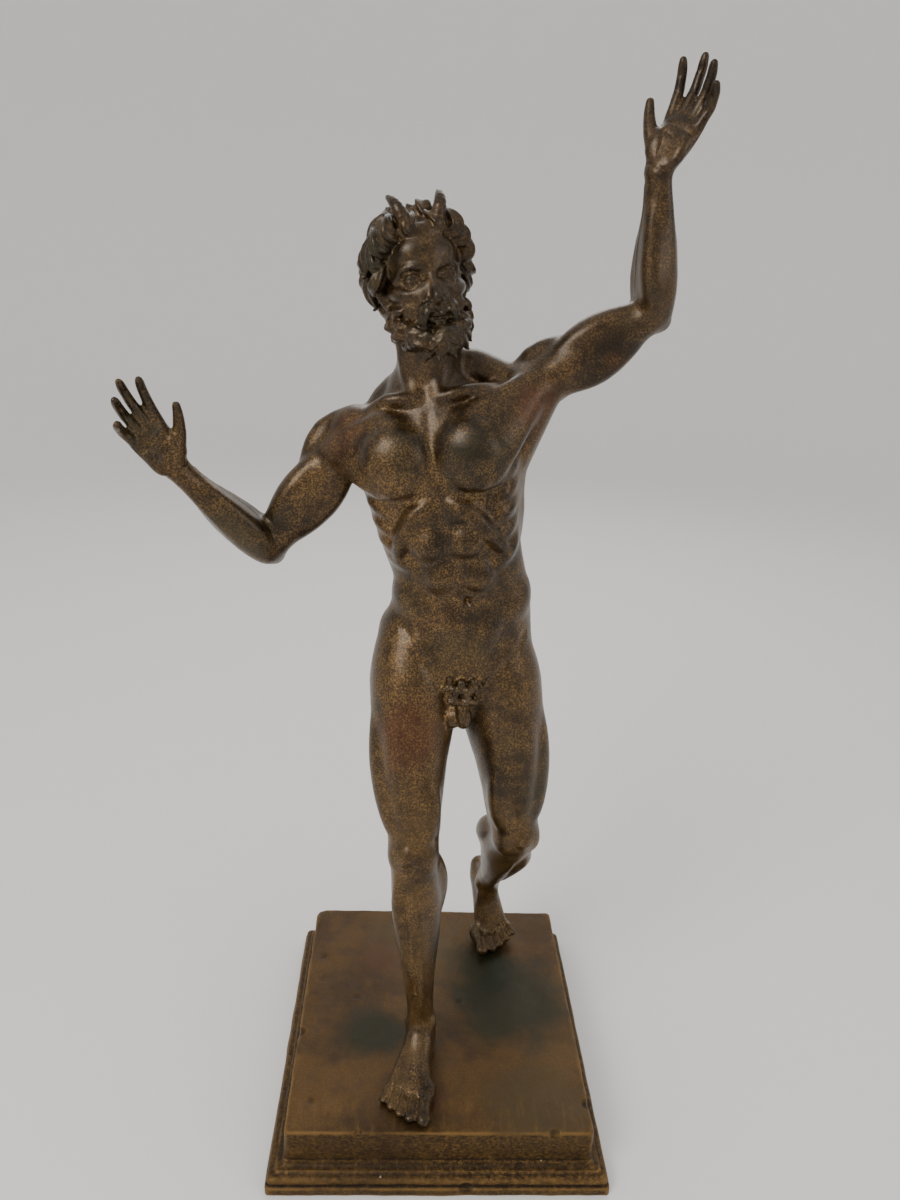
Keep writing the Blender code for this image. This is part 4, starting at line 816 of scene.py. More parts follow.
def headMass(form, skull):
    def ball(side, front, up, radii):
        form.ball(skull.at(side, front, up), radii, skull.axes)

    def ridge(places, widths, depths, front=None, steps=3, sides=12):
        form.sweep([skull.at(*place) for place in places], widths, depths,
                   front or skull.front, steps=steps, sides=sides)

    skullMass(form, skull)
    # The hair's mass, over the crown and the back of the head
    ball(0, -2.4, 3.0, (8.0, 9.4, 9.2))
    for hand in (left, right):
        # Jaw, cheekbone and cheek
        ridge(((5.7 * hand, -0.8, -4.0), (5.5 * hand, 1.2, -7.4), (3.6 * hand, 5.0, -9.4),
               (1.2 * hand, 7.2, -9.9)), (1.6, 1.8, 1.6, 1.5), (1.8, 1.8, 1.6, 1.4), skull.up)
        ridge(((6.2 * hand, 0.8, -0.8), (5.5 * hand, 4.0, -1.4), (4.1 * hand, 5.8, -2.0)),
              (1.2, 1.5, 1.4), (1.2, 1.5, 1.4), skull.up)
        ball(3.5 * hand, 5.2, -4.2, (2.3, 2.1, 2.8))
        # Brow
        ridge(((0.8 * hand, 7.35, 2.0), (2.7 * hand, 7.2, 2.55), (4.6 * hand, 6.0, 2.3),
               (6.0 * hand, 4.0, 1.0)), (0.8, 0.85, 0.85, 0.7), (0.8, 0.85, 0.9, 0.7))
        # The nostril's wing
        ball(1.25 * hand, 8.3, -3.6, (0.75, 1.0, 0.75))
        ridge(((7.0 * hand, 0.2, -3.0), (7.8 * hand, -0.2, -0.6), (8.9 * hand, -1.2, 2.0),
               (10.2 * hand, -2.4, 4.6)), (0.8, 1.2, 1.2, 0.35), (0.7, 0.8, 0.7, 0.3))
    # Forehead up to the hair, and the chin
    ball(0, 5.6, 5.0, (5.2, 2.6, 3.6))
    ball(0, 6.0, 8.2, (3.4, 1.8, 1.8))
    ball(0, 7.3, -9.4, (2.3, 1.5, 1.6))
    # The beard's mass, which its locks grow from
    ball(0, 5.6, -9.6, (4.4, 3.0, 2.2))
    for hand in (left, right):
        ball(2.6 * hand, 6.4, -7.7, (1.7, 1.6, 1.7))
        ridge(((6.0 * hand, 0.4, -3.6), (5.7 * hand, 2.0, -6.4), (4.4 * hand, 4.6, -8.4),
               (2.4 * hand, 6.6, -9.4)), (1.3, 1.8, 1.9, 1.8), (1.3, 1.7, 1.8, 1.8), skull.up)
    # Nose
    ridge(((0, 6.9, 2.6), (0, 7.6, 0.8), (0, 8.7, -1.5), (0, 9.7, -3.1), (0, 8.9, -3.9)),
          (0.95, 0.72, 0.8, 1.05, 0.9), (0.8, 0.8, 0.9, 1.05, 0.7))
    ball(0, 7.5, -5.6, (2.5, 1.4, 1.9))


def fineFace(form, skull):
    # Eyeballs with the lids' rims, the lips, and the ringed horns
    for hand in (left, right):
        for up, reach in ((0.5, 1.5), (1.2, 1.47), (-0.15, 1.43)):
            form.ball(skull.at(3.15 * hand, 5.75, up), [reach] * 3, skull.axes)
        for rise, thick in ((0.44, 0.25), (-0.42, 0.19)):
            rim = []
            for k in range(9):
                aside = 1.46 * math.cos(math.pi * k / 8)
                tall = rise * math.sin(math.pi * k / 8)
                deep = math.sqrt(max(0.02, 1.56 ** 2 - aside ** 2 - tall ** 2))
                rim.append(skull.at((3.15 + aside) * hand, 5.75 + deep, 0.5 + tall))
            form.sweep(rim, [thick] * 9, [thick] * 9, skull.front, steps=2, sides=10)
        horn = curveThrough([Vector(place) for place in (
            (2.6, 5.2, 8.2), (3.2, 6.4, 10.6), (3.9, 6.2, 12.8),
            (4.4, 4.8, 14.3), (4.7, 3.4, 15.0))], 8)
        last = len(horn) - 1
        girth = [(1.45 - 1.05 * (k / last) ** 1.6) * (1 + 0.07 * math.sin(k * 2.1))
                 for k in range(last + 1)]
        form.sweep([skull.at(place.x * hand, place.y, place.z) for place in horn], girth, girth,
                   skull.front, steps=1, sides=20)

    def lip(places, widths, depths):
        form.sweep([skull.at(*place) for place in places], widths, depths,
                   skull.up, steps=4, sides=12)

    lip(((-2.4, 7.4, -6.45), (-1.1, 8.5, -6.0), (0, 8.7, -6.2), (1.1, 8.5, -6.0), (2.4, 7.4, -6.45)),
        (0.3, 0.5, 0.5, 0.5, 0.3), (0.25, 0.42, 0.36, 0.42, 0.25))
    lip(((-2.0, 7.5, -6.7), (0, 8.5, -7.1), (2.0, 7.5, -6.7)), (0.3, 0.6, 0.3), (0.3, 0.48, 0.3))


def neckMuscles(form, skull):
    for hand in (left, right):
        form.spindle([skull.at(6.0 * hand, -2.8, -3.5), skull.at(5.0 * hand, -0.6, -8.5),
                      torso(3.2, 4.4, 150.5, hand), torso(1.5, 6.4, 146.4, hand)],
                     1.7, 1.6, straightAhead, ends=0.7)
        form.spindle([skull.at(3.2 * hand, -6.6, -3.0), torso(3.0, -4.2, 153, hand),
                      torso(3.4, -6.4, 146, hand)],
                     2.6, 1.8, straightAhead, ends=0.8)


# Locks of hair. Each shape is one unit long: it runs along +X from its root, rises along +Z
# and sways along Y.

lockShapes = dict(
    swings=(0.20, -0.20, 0.12, -0.14, 0.17, -0.10, 0.16, -0.16),
    curls=(0.10, 0.18, 0.30, 0.26, 0.05, 0.34, -0.22, -0.22),
    width=0.25,
    fullness=1.0,
    strands=5,
    strandDepth=0.20,
    steps=14,
    sides=30,
)


def makeLockShape(swing, curl, number):
    form = Form()
    rings = []
    last = lockShapes["steps"]
    strands = lockShapes["strands"]
    spine = []
    for k in range(last + 1):
        t = k / last
        lift = math.sin(math.pi * min(1, t * 1.15)) * 0.26 + curl * t ** 3
        spine.append(Vector((t * (1 - 0.16 * t), math.sin(2 * math.pi * t * 0.8) * swing, lift)))
    for k, point in enumerate(spine):
        t = k / last
        along = (spine[min(k + 1, last)] - spine[max(k - 1, 0)]).normalized()
        side = Vector((0, 0, 1)).cross(along).normalized()
        out = along.cross(side)
        width = lockShapes["width"] * (0.62 + 0.5 * math.sin(math.pi * min(1, 0.15 + t * 0.9)))
        width *= 1 - 0.68 * t ** 2
        rings.append([])
        for j in range(lockShapes["sides"]):
            turn = 2 * math.pi * j / lockShapes["sides"]
            flute = 1 + lockShapes["strandDepth"] * math.cos(strands * turn + 1.5 * t + number)
            rings[-1].append(point + side * (width * flute * math.cos(turn))
                             + out * (width * 0.72 * flute * math.sin(turn)))
    form.rings(rings, spine[0] - Vector((0.1, 0, 0)), spine[-1] + (spine[-1] - spine[-2]) * 0.6)
    mesh = bpy.data.meshes.new(f"lockShape{number}")
    form.bm.to_mesh(mesh)
    form.bm.free()
    return bpy.data.objects.new(mesh.name, mesh)


def lockTree():
    tree = bpy.data.node_groups.new("placeLocks", "GeometryNodeTree")
    newSocket(tree, "Roots", "NodeSocketGeometry")
    newSocket(tree, "Shapes", "NodeSocketCollection")
    newSocket(tree, "Fullness", "NodeSocketFloat", 1.0)
    newSocket(tree, "Material", "NodeSocketMaterial")
    newSocket(tree, "Locks", "NodeSocketGeometry", out=True)
    given = addNode(tree, "NodeGroupInput").outputs

    def named(name, kind):
        return addNode(tree, "GeometryNodeInputNamedAttribute", {"Name": name},
                       data_type=kind).outputs["Attribute"]

    shapes = addNode(tree, "GeometryNodeCollectionInfo", {"Collection": given["Shapes"],
                                                          "Separate Children": True,
                                                          "Reset Children": True})
    turn = addNode(tree, "FunctionNodeAxesToRotation", {"Primary Axis": named("way", "FLOAT_VECTOR"),
                                                        "Secondary Axis": named("out", "FLOAT_VECTOR")},
                   primary_axis="X", secondary_axis="Z")
    thick = mathNode(tree, "MULTIPLY", named("width", "FLOAT"), given["Fullness"])
    tall = mathNode(tree, "MULTIPLY", mathNode(tree, "ADD", named("length", "FLOAT"), thick), 0.5)
    size = addNode(tree, "ShaderNodeCombineXYZ", {"X": named("length", "FLOAT"), "Y": thick, "Z": tall})
    placed = addNode(tree, "GeometryNodeInstanceOnPoints",
                     {"Points": given["Roots"], "Instance": shapes.outputs[0], "Pick Instance": True,
                      "Instance Index": named("shape", "INT"), "Rotation": turn.outputs[0],
                      "Scale": size.outputs[0]})
    solid = addNode(tree, "GeometryNodeRealizeInstances", {"Geometry": placed.outputs[0]})
    coated = addNode(tree, "GeometryNodeSetMaterial", {"Geometry": solid.outputs[0],
                                                       "Material": given["Material"]})
    addNode(tree, "NodeGroupOutput", {"Locks": coated.outputs[0]})
    return tree


# Gathers where locks grow, then has the node tree place a shape on each.
class LockRoots:

    def __init__(self):
        self.rows = []

    def add(self, root, way, out, length, width, shape):
        self.rows.append((root * cm, way, out, length * cm,
                          width * cm / lockShapes["width"], shape))

    def mesh(self, tree, shapes, material):
        mesh = bpy.data.meshes.new("lockRoots")
        mesh.from_pydata([row[0] for row in self.rows], [], [])
        for column, name, kind, field in ((1, "way", "FLOAT_VECTOR", "vector"),
                                          (2, "out", "FLOAT_VECTOR", "vector"),
                                          (3, "length", "FLOAT", "value"),
                                          (4, "width", "FLOAT", "value"),
                                          (5, "shape", "INT", "value")):
            values = np.array([row[column] for row in self.rows]).ravel()
            mesh.attributes.new(name, kind, "POINT").data.foreach_set(field, values)
        helper = linked("lockRoots", mesh)
        place = helper.modifiers.new("Place", "NODES")
        place.node_group = tree
        setInputs(place, Shapes=shapes, Fullness=lockShapes["fullness"], Material=material)
        made = evaluated(helper)
        bpy.data.objects.remove(helper)
        return made


hairSettings = dict(
    seed=7,
    # elevation, first and last azimuth in degrees, locks a side, length, width, downward pull
    rows=((80, 20, 160, 3, 6.2, 1.7, 0.1), (62, 20, 172, 5, 6.6, 1.65, 0.2),
          (44, 30, 174, 7, 6.8, 1.65, 0.5), (26, 48, 174, 7, 6.8, 1.65, 0.8),
          (8, 68, 174, 7, 6.6, 1.6, 1.0), (-10, 82, 174, 6, 6.4, 1.6, 1.2),
          (-27, 96, 172, 5, 5.6, 1.5, 1.3)),
    # side, forward, up, sideways lean and length of each lock that rises from the brow
    forelocks=((1.3, 6.6, 8.0, 0.30, 4.6), (4.4, 5.6, 7.6, 0.5, 5.4),
               (5.8, 4.2, 6.2, 0.8, 5.6), (6.6, 2.6, 4.0, 0.9, 5.2)),
)


def nearestShape(swing, curl):
    pairs = zip(lockShapes["swings"], lockShapes["curls"])
    gaps = [abs(swing - a) * 2 + abs(curl - b) for a, b in pairs]
    return gaps.index(min(gaps))


def growHair(roots, skull):
    chance = random.Random(hairSettings["seed"])
    for hand in (left, right):
        for elevation, first, last, count, length, width, pull in hairSettings["rows"]:
            for k in range(count):
                turn = math.radians(first + (last - first) * (k + 0.5) / count
                                    + chance.uniform(-4, 4))
                tall = math.radians(elevation + chance.uniform(-4, 4))
                side = math.sin(turn) * math.cos(tall) * hand
                front = math.cos(turn) * math.cos(tall)
                up = math.sin(tall)
                out = skull.way(side, front, up)
                root = skull.at(side * 7.2, front * 9.0 - 1.0, up * 8.6 + 3.0) / cm
                fall = skull.way(side * 0.5, front * 0.4 - 0.6, 0.35 - pull)
                across = fall.cross(out)
                way = (fall - out * fall.dot(out) * 0.85
                       + across * chance.uniform(-0.35, 0.35)).normalized()
                long = length * chance.uniform(0.85, 1.15)
                wide = width * chance.uniform(0.85, 1.15)
                swing = chance.choice((-1, 1)) * chance.uniform(0.10, 0.2)
                roots.add(root, way, out, long, wide,
                          nearestShape(-swing, chance.uniform(0.05, 0.32)))
        for side, front, up, lean, length in hairSettings["forelocks"]:
            root = skull.at(side * hand, front - 0.8, up) / cm
            way = skull.way(lean * hand, 0.15 - 0.3 * abs(lean), 1)
            roots.add(root, way, skull.way(0.3 * hand, 1, 0.2), length * chance.uniform(0.9, 1.1),
                      1.5, nearestShape(-0.16 * hand, -0.22))


beardSettings = dict(
    seed=11,
    width=1.3,
    # side, forward and up of each lock's root, how far it leans forward, and its length
    locks=((6.3, 0.6, -3.4, 0.1, 3.0), (6.1, 2.0, -5.4, 0.2, 3.2), (5.5, 3.4, -7.2, 0.3, 3.4),
           (4.6, 4.8, -8.6, 0.4, 3.6), (3.3, 6.2, -9.2, 0.35, 4.0), (1.5, 7.2, -9.9, 0.3, 4.4),
           (5.2, 1.8, -7.8, 0.2, 3.2), (3.8, 4.0, -9.4, 0.3, 3.6), (2.1, 6.0, -10.4, 0.3, 4.2),
           (0.7, 8.5, -8.1, 0.25, 3.4), (0.6, 7.9, -9.9, 0.25, 4.4), (2.0, 8.2, -8.3, 0.3, 3.4),
           (2.9, 7.6, -9.0, 0.3, 3.4), (1.4, 8.5, -9.3, 0.2, 3.6), (3.9, 6.6, -8.2, 0.3, 3.2),
           (3.5, 7.0, -7.2, 0.4, 3.2), (4.9, 5.2, -5.9, 0.3, 3.0), (5.8, 3.4, -3.9, 0.2, 2.8)),
)


def growBeard(roots, skull):
    chance = random.Random(beardSettings["seed"])
    for hand in (left, right):
        for side, front, up, lean, length in beardSettings["locks"]:
            root = skull.at(side * hand, front - 0.4, up) / cm
            way = skull.way(0.15 * side / 6 * hand, lean, -1)
            out = skull.way(side / 7 * hand, 0.7 if side < 5 else 0.35, -0.1)
            long = length * chance.uniform(0.9, 1.15)
            swing = chance.choice((-1, 1)) * 0.2
            roots.add(root, way, (out - way * out.dot(way)).normalized(), long, beardSettings["width"],
                      nearestShape(swing, chance.uniform(0.1, 0.3)))
        # The moustache, in two locks a side
        roots.add(skull.at(0.25 * hand, 8.4, -5.0) / cm, skull.way(0.86 * hand, -0.22, -0.42),
                  skull.way(0.2 * hand, 1, 0), 4.6, 1.2, 0 if hand == left else 1)
        roots.add(skull.at(1.2 * hand, 8.0, -5.6) / cm, skull.way(0.70 * hand, -0.35, -0.85),
                  skull.way(0.4 * hand, 1, 0), 4.0, 1.0, 2 if hand == left else 3)


curlSettings = dict(
    rows=4,
    topRow=7,  # curls in the top row; each row below has one fewer
    spacing=1.2,
    topLevel=90.4,
    length=2.3,
    width=0.75,
    tuft=8,
    tuftLength=4.2,
    tuftWidth=0.8,
    shapes=6,  # how many of the lock shapes they use
)


# Small tight curls over the groin, and a tuft at the tip of the tail.
def growCurls(roots):
    curls = curlSettings
    _, side, ahead, up = torsoFrame(89)
    for row in range(curls["rows"]):
        count = curls["topRow"] - row
        for k in range(count):
            out = (k - (count - 1) / 2) * curls["spacing"]
            level = curls["topLevel"] - curls["spacing"] * row
            root = torso(out, 9.3 - 0.10 * out ** 2 + 0.25 * row, level) / cm
            lean = (-1) ** (k + row)
            way = (side * (0.25 * out + 0.5 * lean) - up + ahead * 0.5).normalized()
            roots.add(root, way, ahead, curls["length"], curls["width"],
                      (k + 2 * row) % curls["shapes"])
    for k in range(curls["tuft"]):
        turn = 2 * math.pi * k / curls["tuft"]
        around = Vector((math.cos(turn), math.sin(turn), 0))
        root = torso(0.5, -14.6, 91.5) / cm + around * 0.8
        roots.add(root, (around * 0.4 - worldUp).normalized(), around,
                  curls["tuftLength"], curls["tuftWidth"], k % curls["shapes"])


def carveDetails(mesh, skull, legs, arms, hands, fingers, tips):
    skin = Skin(mesh)

    def onTrunk(out, level, hand=left, back=False):
        ahead = torsoFrame(level)[2] * (-1 if back else 1)
        return skin.land(torso(out, -9 if back else 9, level, hand), ahead)

    def onFace(side, front, up):
        return skin.land(skull.at(side, front, up), skull.front)

    def onBone(bone, share, out, front):
        return skin.land(bone.at(share, out, front), bone.direction(out, front), 3)

    skin.press([onTrunk(0, 107.2), onTrunk(0, 106.6)], 1.0, 0.9)
    skin.press([onTrunk(out, 108.6 - 0.3 * out ** 2) for out in (-1.2, -0.6, 0, 0.6, 1.2)],
               0.8, -0.15)
    skin.press([onTrunk(0, level) for level in (127, 124, 121, 118, 115, 112, 109)], 1.6, 0.20)
    skin.press([onTrunk(0, level) for level in (143, 140, 137, 134, 131)], 1.6, 0.25)
    skin.press([onTrunk(0, level, back=True) for level in range(98, 142, 4)], 2.0, 0.7)
    skin.press([onTrunk(0, level, back=True) for level in (96, 94, 92, 90, 88, 86)], 1.6, 1.3)
    for hand in (left, right):
        skin.press([onTrunk(out, level, hand) for out, level in
                    ((1.6, 128.4), (4.2, 127.6), (7.4, 127.6), (10.4, 129.2))], 1.7, 0.30)
        skin.press([onTrunk(out, level, hand) for out, level in
                    ((12.6, 99.5), (10.4, 96.0), (7.6, 92.4), (5.0, 89.4))], 1.7, 0.38)
        for level in (122.1, 115.7, 109.2):
            skin.press([onTrunk(out, level + 0.06 * out, hand) for out in (1.0, 3.0, 5.2)], 1.5, 0.13)
        skin.press([onTrunk(6.9, level, hand) for level in (121, 116, 111, 105)], 1.7, 0.18)
        # Nipple
        skin.press([onTrunk(9.0, 131.8, hand)], 1.0, -0.16)
        skin.press([onTrunk(9.0, 131.8, hand)], 0.45, -0.25)
        carveLeg(skin, onBone, *legs[hand])
        carveArm(skin, onBone, *arms[hand])
        carveHand(skin, fingers[hand], hands[hand])
        carveToes(skin, tips[hand], pose["footWays"][hand].normalized())
        carveEye(skin, onFace, hand)
        # Temple, hollow of the cheek, fold beside the nose, and nostril
        skin.press([onFace(6.0 * hand, 4, 3.4), onFace(6.2 * hand, 4, 1.8)], 1.9, 0.30)
        skin.press([onFace(4.7 * hand, 6, -3.6), onFace(4.9 * hand, 5, -4.8)], 1.7, 0.30)
        skin.press([onFace(1.9 * hand, 8, -3.2), onFace(2.5 * hand, 8, -4.2),
                    onFace(3.0 * hand, 8, -5.2)], 0.6, 0.22)
        skin.press([skull.at(0.65 * hand, 9.0, -4.3)], 0.7, 0.35)
        skin.press([onFace(1.75 * hand, 8, -2.9), onFace(1.95 * hand, 8, -3.6)], 0.45, 0.22)
    skin.press([onFace(side, 8.5, -6.5) for side in (-2.1, -1.0, 0, 1.0, 2.1)], 0.4, 0.25)
    skin.press([onFace(0, 8.5, -4.8), onFace(0, 8.5, -5.4)], 0.5, 0.2)
    skin.finish()


# The eye sockets, sunk before the eyeballs go in.
def sinkSockets(mesh, skull):
    skin = Skin(mesh)
    for hand in (left, right):
        for side, up, width, depth in ((2.5, 0.7, 2.2, 0.60), (3.9, 0.5, 2.2, 0.65),
                                       (1.6, 0.9, 1.1, 0.40)):
            skin.press([skin.land(skull.at(side * hand, 7, up), skull.front)], width, depth)
    skin.finish()


def carveEye(skin, onFace, hand):
    # Inner corner, the crease above the upper lid, the fold under the lower lid
    skin.press([onFace(1.45 * hand, 7, 0.45)], 0.7, 0.18)
    skin.press([onFace(side * hand, 7.5, up) for side, up in
                ((1.9, 1.25), (2.5, 1.62), (3.2, 1.75), (4.1, 1.55), (4.7, 1.1))], 0.36, 0.16)
    skin.press([onFace(side * hand, 7, up) for side, up in
                ((2.0, -0.7), (2.7, -1.05), (3.6, -1.1), (4.3, -0.8))], 0.5, 0.05)
    # The iris ring with its pupil
    centre = (3.15, 0.55)
    ring = [(centre[0] + 0.5 * math.cos(turn), centre[1] + 0.5 * math.sin(turn))
            for turn in [2 * math.pi * k / 12 for k in range(13)]]
    skin.press([onFace(side * hand, 7.5, up) for side, up in ring], 0.26, 0.10)
    skin.press([onFace(centre[0] * hand, 7.5, centre[1])], 0.36, 0.25)
    # Eyebrow hairs, slanting outwards
    for k in range(9):
        side = 1.0 + 0.48 * k
        up = 2.0 + 0.6 * math.sin(math.pi * min(1, k / 9 + 0.15))
        skin.press([onFace(side * hand, 8, up - 0.3), onFace((side + 0.45) * hand, 8, up + 0.4)],
                   0.3, 0.12)


def carveLeg(skin, onBone, thigh, shank):
    # Round the kneecap, then the shin's edge and the ankle's hollows
    ring = [(1.9 * math.cos(turn), 0.985 + 0.058 * math.sin(turn))
            for turn in [2 * math.pi * k / 14 for k in range(3, 13)]]
    skin.press([onBone(thigh, share, out, 5.0) for out, share in ring], 1.1, 0.16)
    skin.press([onBone(thigh, share, out, 5.5) for share, out in
                ((0.80, -1.2), (0.86, -0.8), (0.91, -0.2))], 1.3, 0.16)
    skin.press([onBone(shank, share, out, 4.0) for share, out in
                ((0.16, -0.2), (0.35, 0.2), (0.55, 0.3), (0.75, 0.3))], 0.9, 0.16)
    skin.press([onBone(thigh, share, out, -5.0) for share, out in ((0.96, 0), (1.0, 0))], 3.0, 0.5)


def carveArm(skin, onBone, upper, lower):
    # The groove between the two arm muscles, and a few veins
    skin.press([onBone(upper, share, 3.0, front) for share, front in
                ((0.35, -0.4), (0.5, 0.0), (0.65, 0.3), (0.8, 0.4))], 0.9, 0.20)
    skin.press([onBone(lower, share, out, 2.5) for share, out in
                ((0.1, 0.6), (0.3, 0.2), (0.5, 0.5), (0.7, 0.2), (0.9, 0.5))], 0.42, -0.12)
    skin.press([onBone(lower, share, out, -2.0) for share, out in
                ((0.35, 0.8), (0.5, 0.2), (0.65, 0.6), (0.85, 0.1))], 0.42, -0.12)


def carveToes(skin, tips, toeWay):
    for one, other in zip(tips, tips[1:]):
        # The cleft between two toes, from the middle of their first bones
        (tip, _, joint, root), (nextTip, _, nextJoint, nextRoot) = one, other
        gap = [root.lerp(joint, 0.5).lerp(nextRoot.lerp(nextJoint, 0.5), 0.5),
               joint.lerp(nextJoint, 0.5), tip.lerp(nextTip, 0.5)]
        skin.press([skin.land(point, worldUp, 3) for point in gap], 0.55, 0.32)
    for tip, thick, _, _ in tips:
        # The bed of each toenail, with its fold
        bed = skin.land(tip + toeWay * 0.3 * thick * cm, worldUp, 3)
        skin.press([bed], thick * 0.75, 0.14)


def carveHand(skin, fingers, hold):

    def onPalm(reach, side, way=1):
        return skin.land(hold.at(reach, side, 0), hold.palm * way, 3)

    # Lines of the palm: round the thumb's pad, across the middle, and below the fingers
    for line in (((1.6, 0.5), (3.4, 0.7), (5.4, 1.6), (6.6, 3.2)),
                 ((6.0, 3.2), (5.6, 1.2), (5.0, -0.8), (4.2, -2.6)),
                 ((7.4, 1.8), (7.0, 0.4), (6.7, -1.4), (6.4, -3.2)),
                 ((-0.3, -1.8), (-0.4, 0), (-0.3, 1.8))):
        skin.press([onPalm(reach, side) for reach, side in line], 0.42, 0.16)
    for points, palmWay in fingers:
        # Creases under each joint, knuckles and the nail on the back
        for k in (3, 5):
            skin.press([skin.land(points[k], palmWay, 2)], 0.55, 0.12)
            skin.press([skin.land(points[k], -palmWay, 2)], 0.8, -0.07)
        tip = points[-1].lerp(points[-2], 0.45)
        skin.press([skin.land(tip, -palmWay, 2)], 0.75, 0.10)
    # Tendons on the back of the hand
    for side in (2.4, 0.8, -0.8, -2.3):
        skin.press([onPalm(reach, side * (0.45 + 0.55 * reach / 8), -1)
                    for reach in (1.5, 3.5, 5.5, 7.5)], 0.55, -0.10)


def makeBones():
    legs, arms = {}, {}
    for hand in (left, right):
        hip, ankle, way = pose["hips"][hand], pose["ankles"][hand], pose["kneeWays"][hand]
        knee = middleJoint(hip, ankle, pose["thighLength"], pose["shankLength"], way)
        legs[hand] = (Bone(hip, knee, way, hand), Bone(knee, ankle, way, hand))
        # The crook of each elbow faces between the two bones of the arm.
        top, elbow, wrist = pose["shoulders"][hand], pose["elbows"][hand], pose["wrists"][hand]
        crook = ((top - elbow).normalized() + (wrist - elbow).normalized()).normalized()
        arms[hand] = (Bone(top, elbow, crook, hand), Bone(elbow, wrist, crook, hand))
    return legs, arms


# How far each point lies in a hollow (towards 1) or on a ridge (towards -1), over two distances.
def hollowness(mesh, voxel, spans):
    points = pointsOf(mesh)
    normals = normalsOf(mesh)
    edges = np.empty(len(mesh.edges) * 2, np.int64)
    mesh.edges.foreach_get("vertices", edges)
    first, second = edges.reshape(-1, 2).T
    count = (np.bincount(first, minlength=len(points))
             + np.bincount(second, minlength=len(points)))
    total = np.zeros(len(points))
    smooth = points.copy()
    done = 0
    for blur, scale in spans:
        rounds = max(2, round(2.2 * (blur / voxel) ** 2))
        while done < rounds:
            moved = np.empty_like(smooth)
            for axis in range(3):
                moved[:, axis] = (np.bincount(first, smooth[second, axis], len(points))
                                  + np.bincount(second, smooth[first, axis], len(points))) / count
            smooth = moved
            done += 1
        total += 0.5 * np.clip(((smooth - points) * normals).sum(1) / scale, -1, 1)
    layer = mesh.attributes.new("hollow", "FLOAT", "POINT")
    layer.data.foreach_set("value", total)


# Rounds of smoothing that soften a skin of this voxel size over a distance in metres.
def softening(blur, voxel):
    return max(1, round((blur / voxel) ** 2 * 4))


def buildFigure(material):
    legs, arms = makeBones()
    skull = Skull()

    masses = Form()
    trunkMass(masses)
    neckMass(masses, skull)
    for hand in (left, right):
        legMass(masses, *legs[hand])
        armMass(masses, *arms[hand], pose["palmWays"][hand])
    mass = masses.fused(figure["massVoxel"], 5, finer=1)

    muscles = Form()
    muscles.addMesh(mass)
    chestAndBack(muscles, {hand: arms[hand][0] for hand in arms})
    abdomen(muscles)
    seat(muscles, legs)
    neckMuscles(muscles, skull)
    skullMass(muscles, skull)
    feet = {hand: Foot(hand) for hand in (left, right)}
    hands = {hand: Hand(hand) for hand in (left, right)}
    for hand in (left, right):
        legMuscles(muscles, *legs[hand])
        armMuscles(muscles, *arms[hand])
        footMass(muscles, feet[hand])
        palmMass(muscles, hands[hand])
    body = muscles.fused(figure["muscleVoxel"], softening(0.0042, figure["muscleVoxel"]),
                         swell=0.0006)
    print("figure: body and muscles fused,", len(body.polygons), "faces")

    features = Form()
    features.addMesh(body)
    headMass(features, skull)
    groin(features)
    fingers, tips = {}, {}
    for hand in (left, right):
        footMass(features, feet[hand])
        tips[hand] = toes(features, feet[hand])
        palmMass(features, hands[hand])
        fingers[hand] = fingersAndThumb(features, hands[hand], pose["fingerBends"][hand],
                                        pose["fingerFans"][hand])
    whole = features.fused(figure["featureVoxel"], softening(0.0013, figure["featureVoxel"]))
    sinkSockets(whole, skull)
    print("figure: head, hands and feet fused,", len(whole.polygons), "faces")

    shapes = bpy.data.collections.new("lockShapes")
    for number, (swing, curl) in enumerate(zip(lockShapes["swings"], lockShapes["curls"])):
        shapes.objects.link(makeLockShape(swing, curl, number))
    roots = LockRoots()
    growHair(roots, skull)
    growBeard(roots, skull)
    growCurls(roots)
    locks = roots.mesh(lockTree(), shapes, material)
    for shape in list(shapes.objects):
        bpy.data.objects.remove(shape)
    bpy.data.collections.remove(shapes)
    print("figure:", len(roots.rows), "locks placed")

    details = Form()
    details.addMesh(whole)
    details.addMesh(locks)
    fineFace(details, skull)
    mesh = details.fused(figure["detailVoxel"], 1)
    carveDetails(mesh, skull, legs, arms, hands, fingers, tips)

    # Flat soles, just above the slab
    points = pointsOf(mesh)
    points[:, 2] = np.maximum(points[:, 2], figure["soleCut"])
    points[:, 2] += plinthHeight + figure["footGap"] - figure["soleCut"]
    mesh.vertices.foreach_set("co", points.ravel())

    hollowness(mesh, figure["detailVoxel"], figure["hollows"])
    piece = finished(mesh, figure["triangles"], "faunFigure", material)
    print("figure: finished with", len(piece.data.polygons), "faces")
    return piece


# A dense mesh thinned to its number of triangles, as a piece with its material.
def finished(mesh, triangles, name, material):
    helper = linked("dense", mesh)
    total = sum(len(face.vertices) - 2 for face in mesh.polygons)
    if total > triangles:
        thin = helper.modifiers.new("Thin", "DECIMATE")
        thin.ratio = triangles / total
    made = evaluated(helper)
    bpy.data.objects.remove(helper)
    made.name = name
    made.materials.clear()
    made.materials.append(material)
    made.shade_smooth()
    return linked(name, made)


# The plinth: one moulded profile swept round a rounded rectangle.

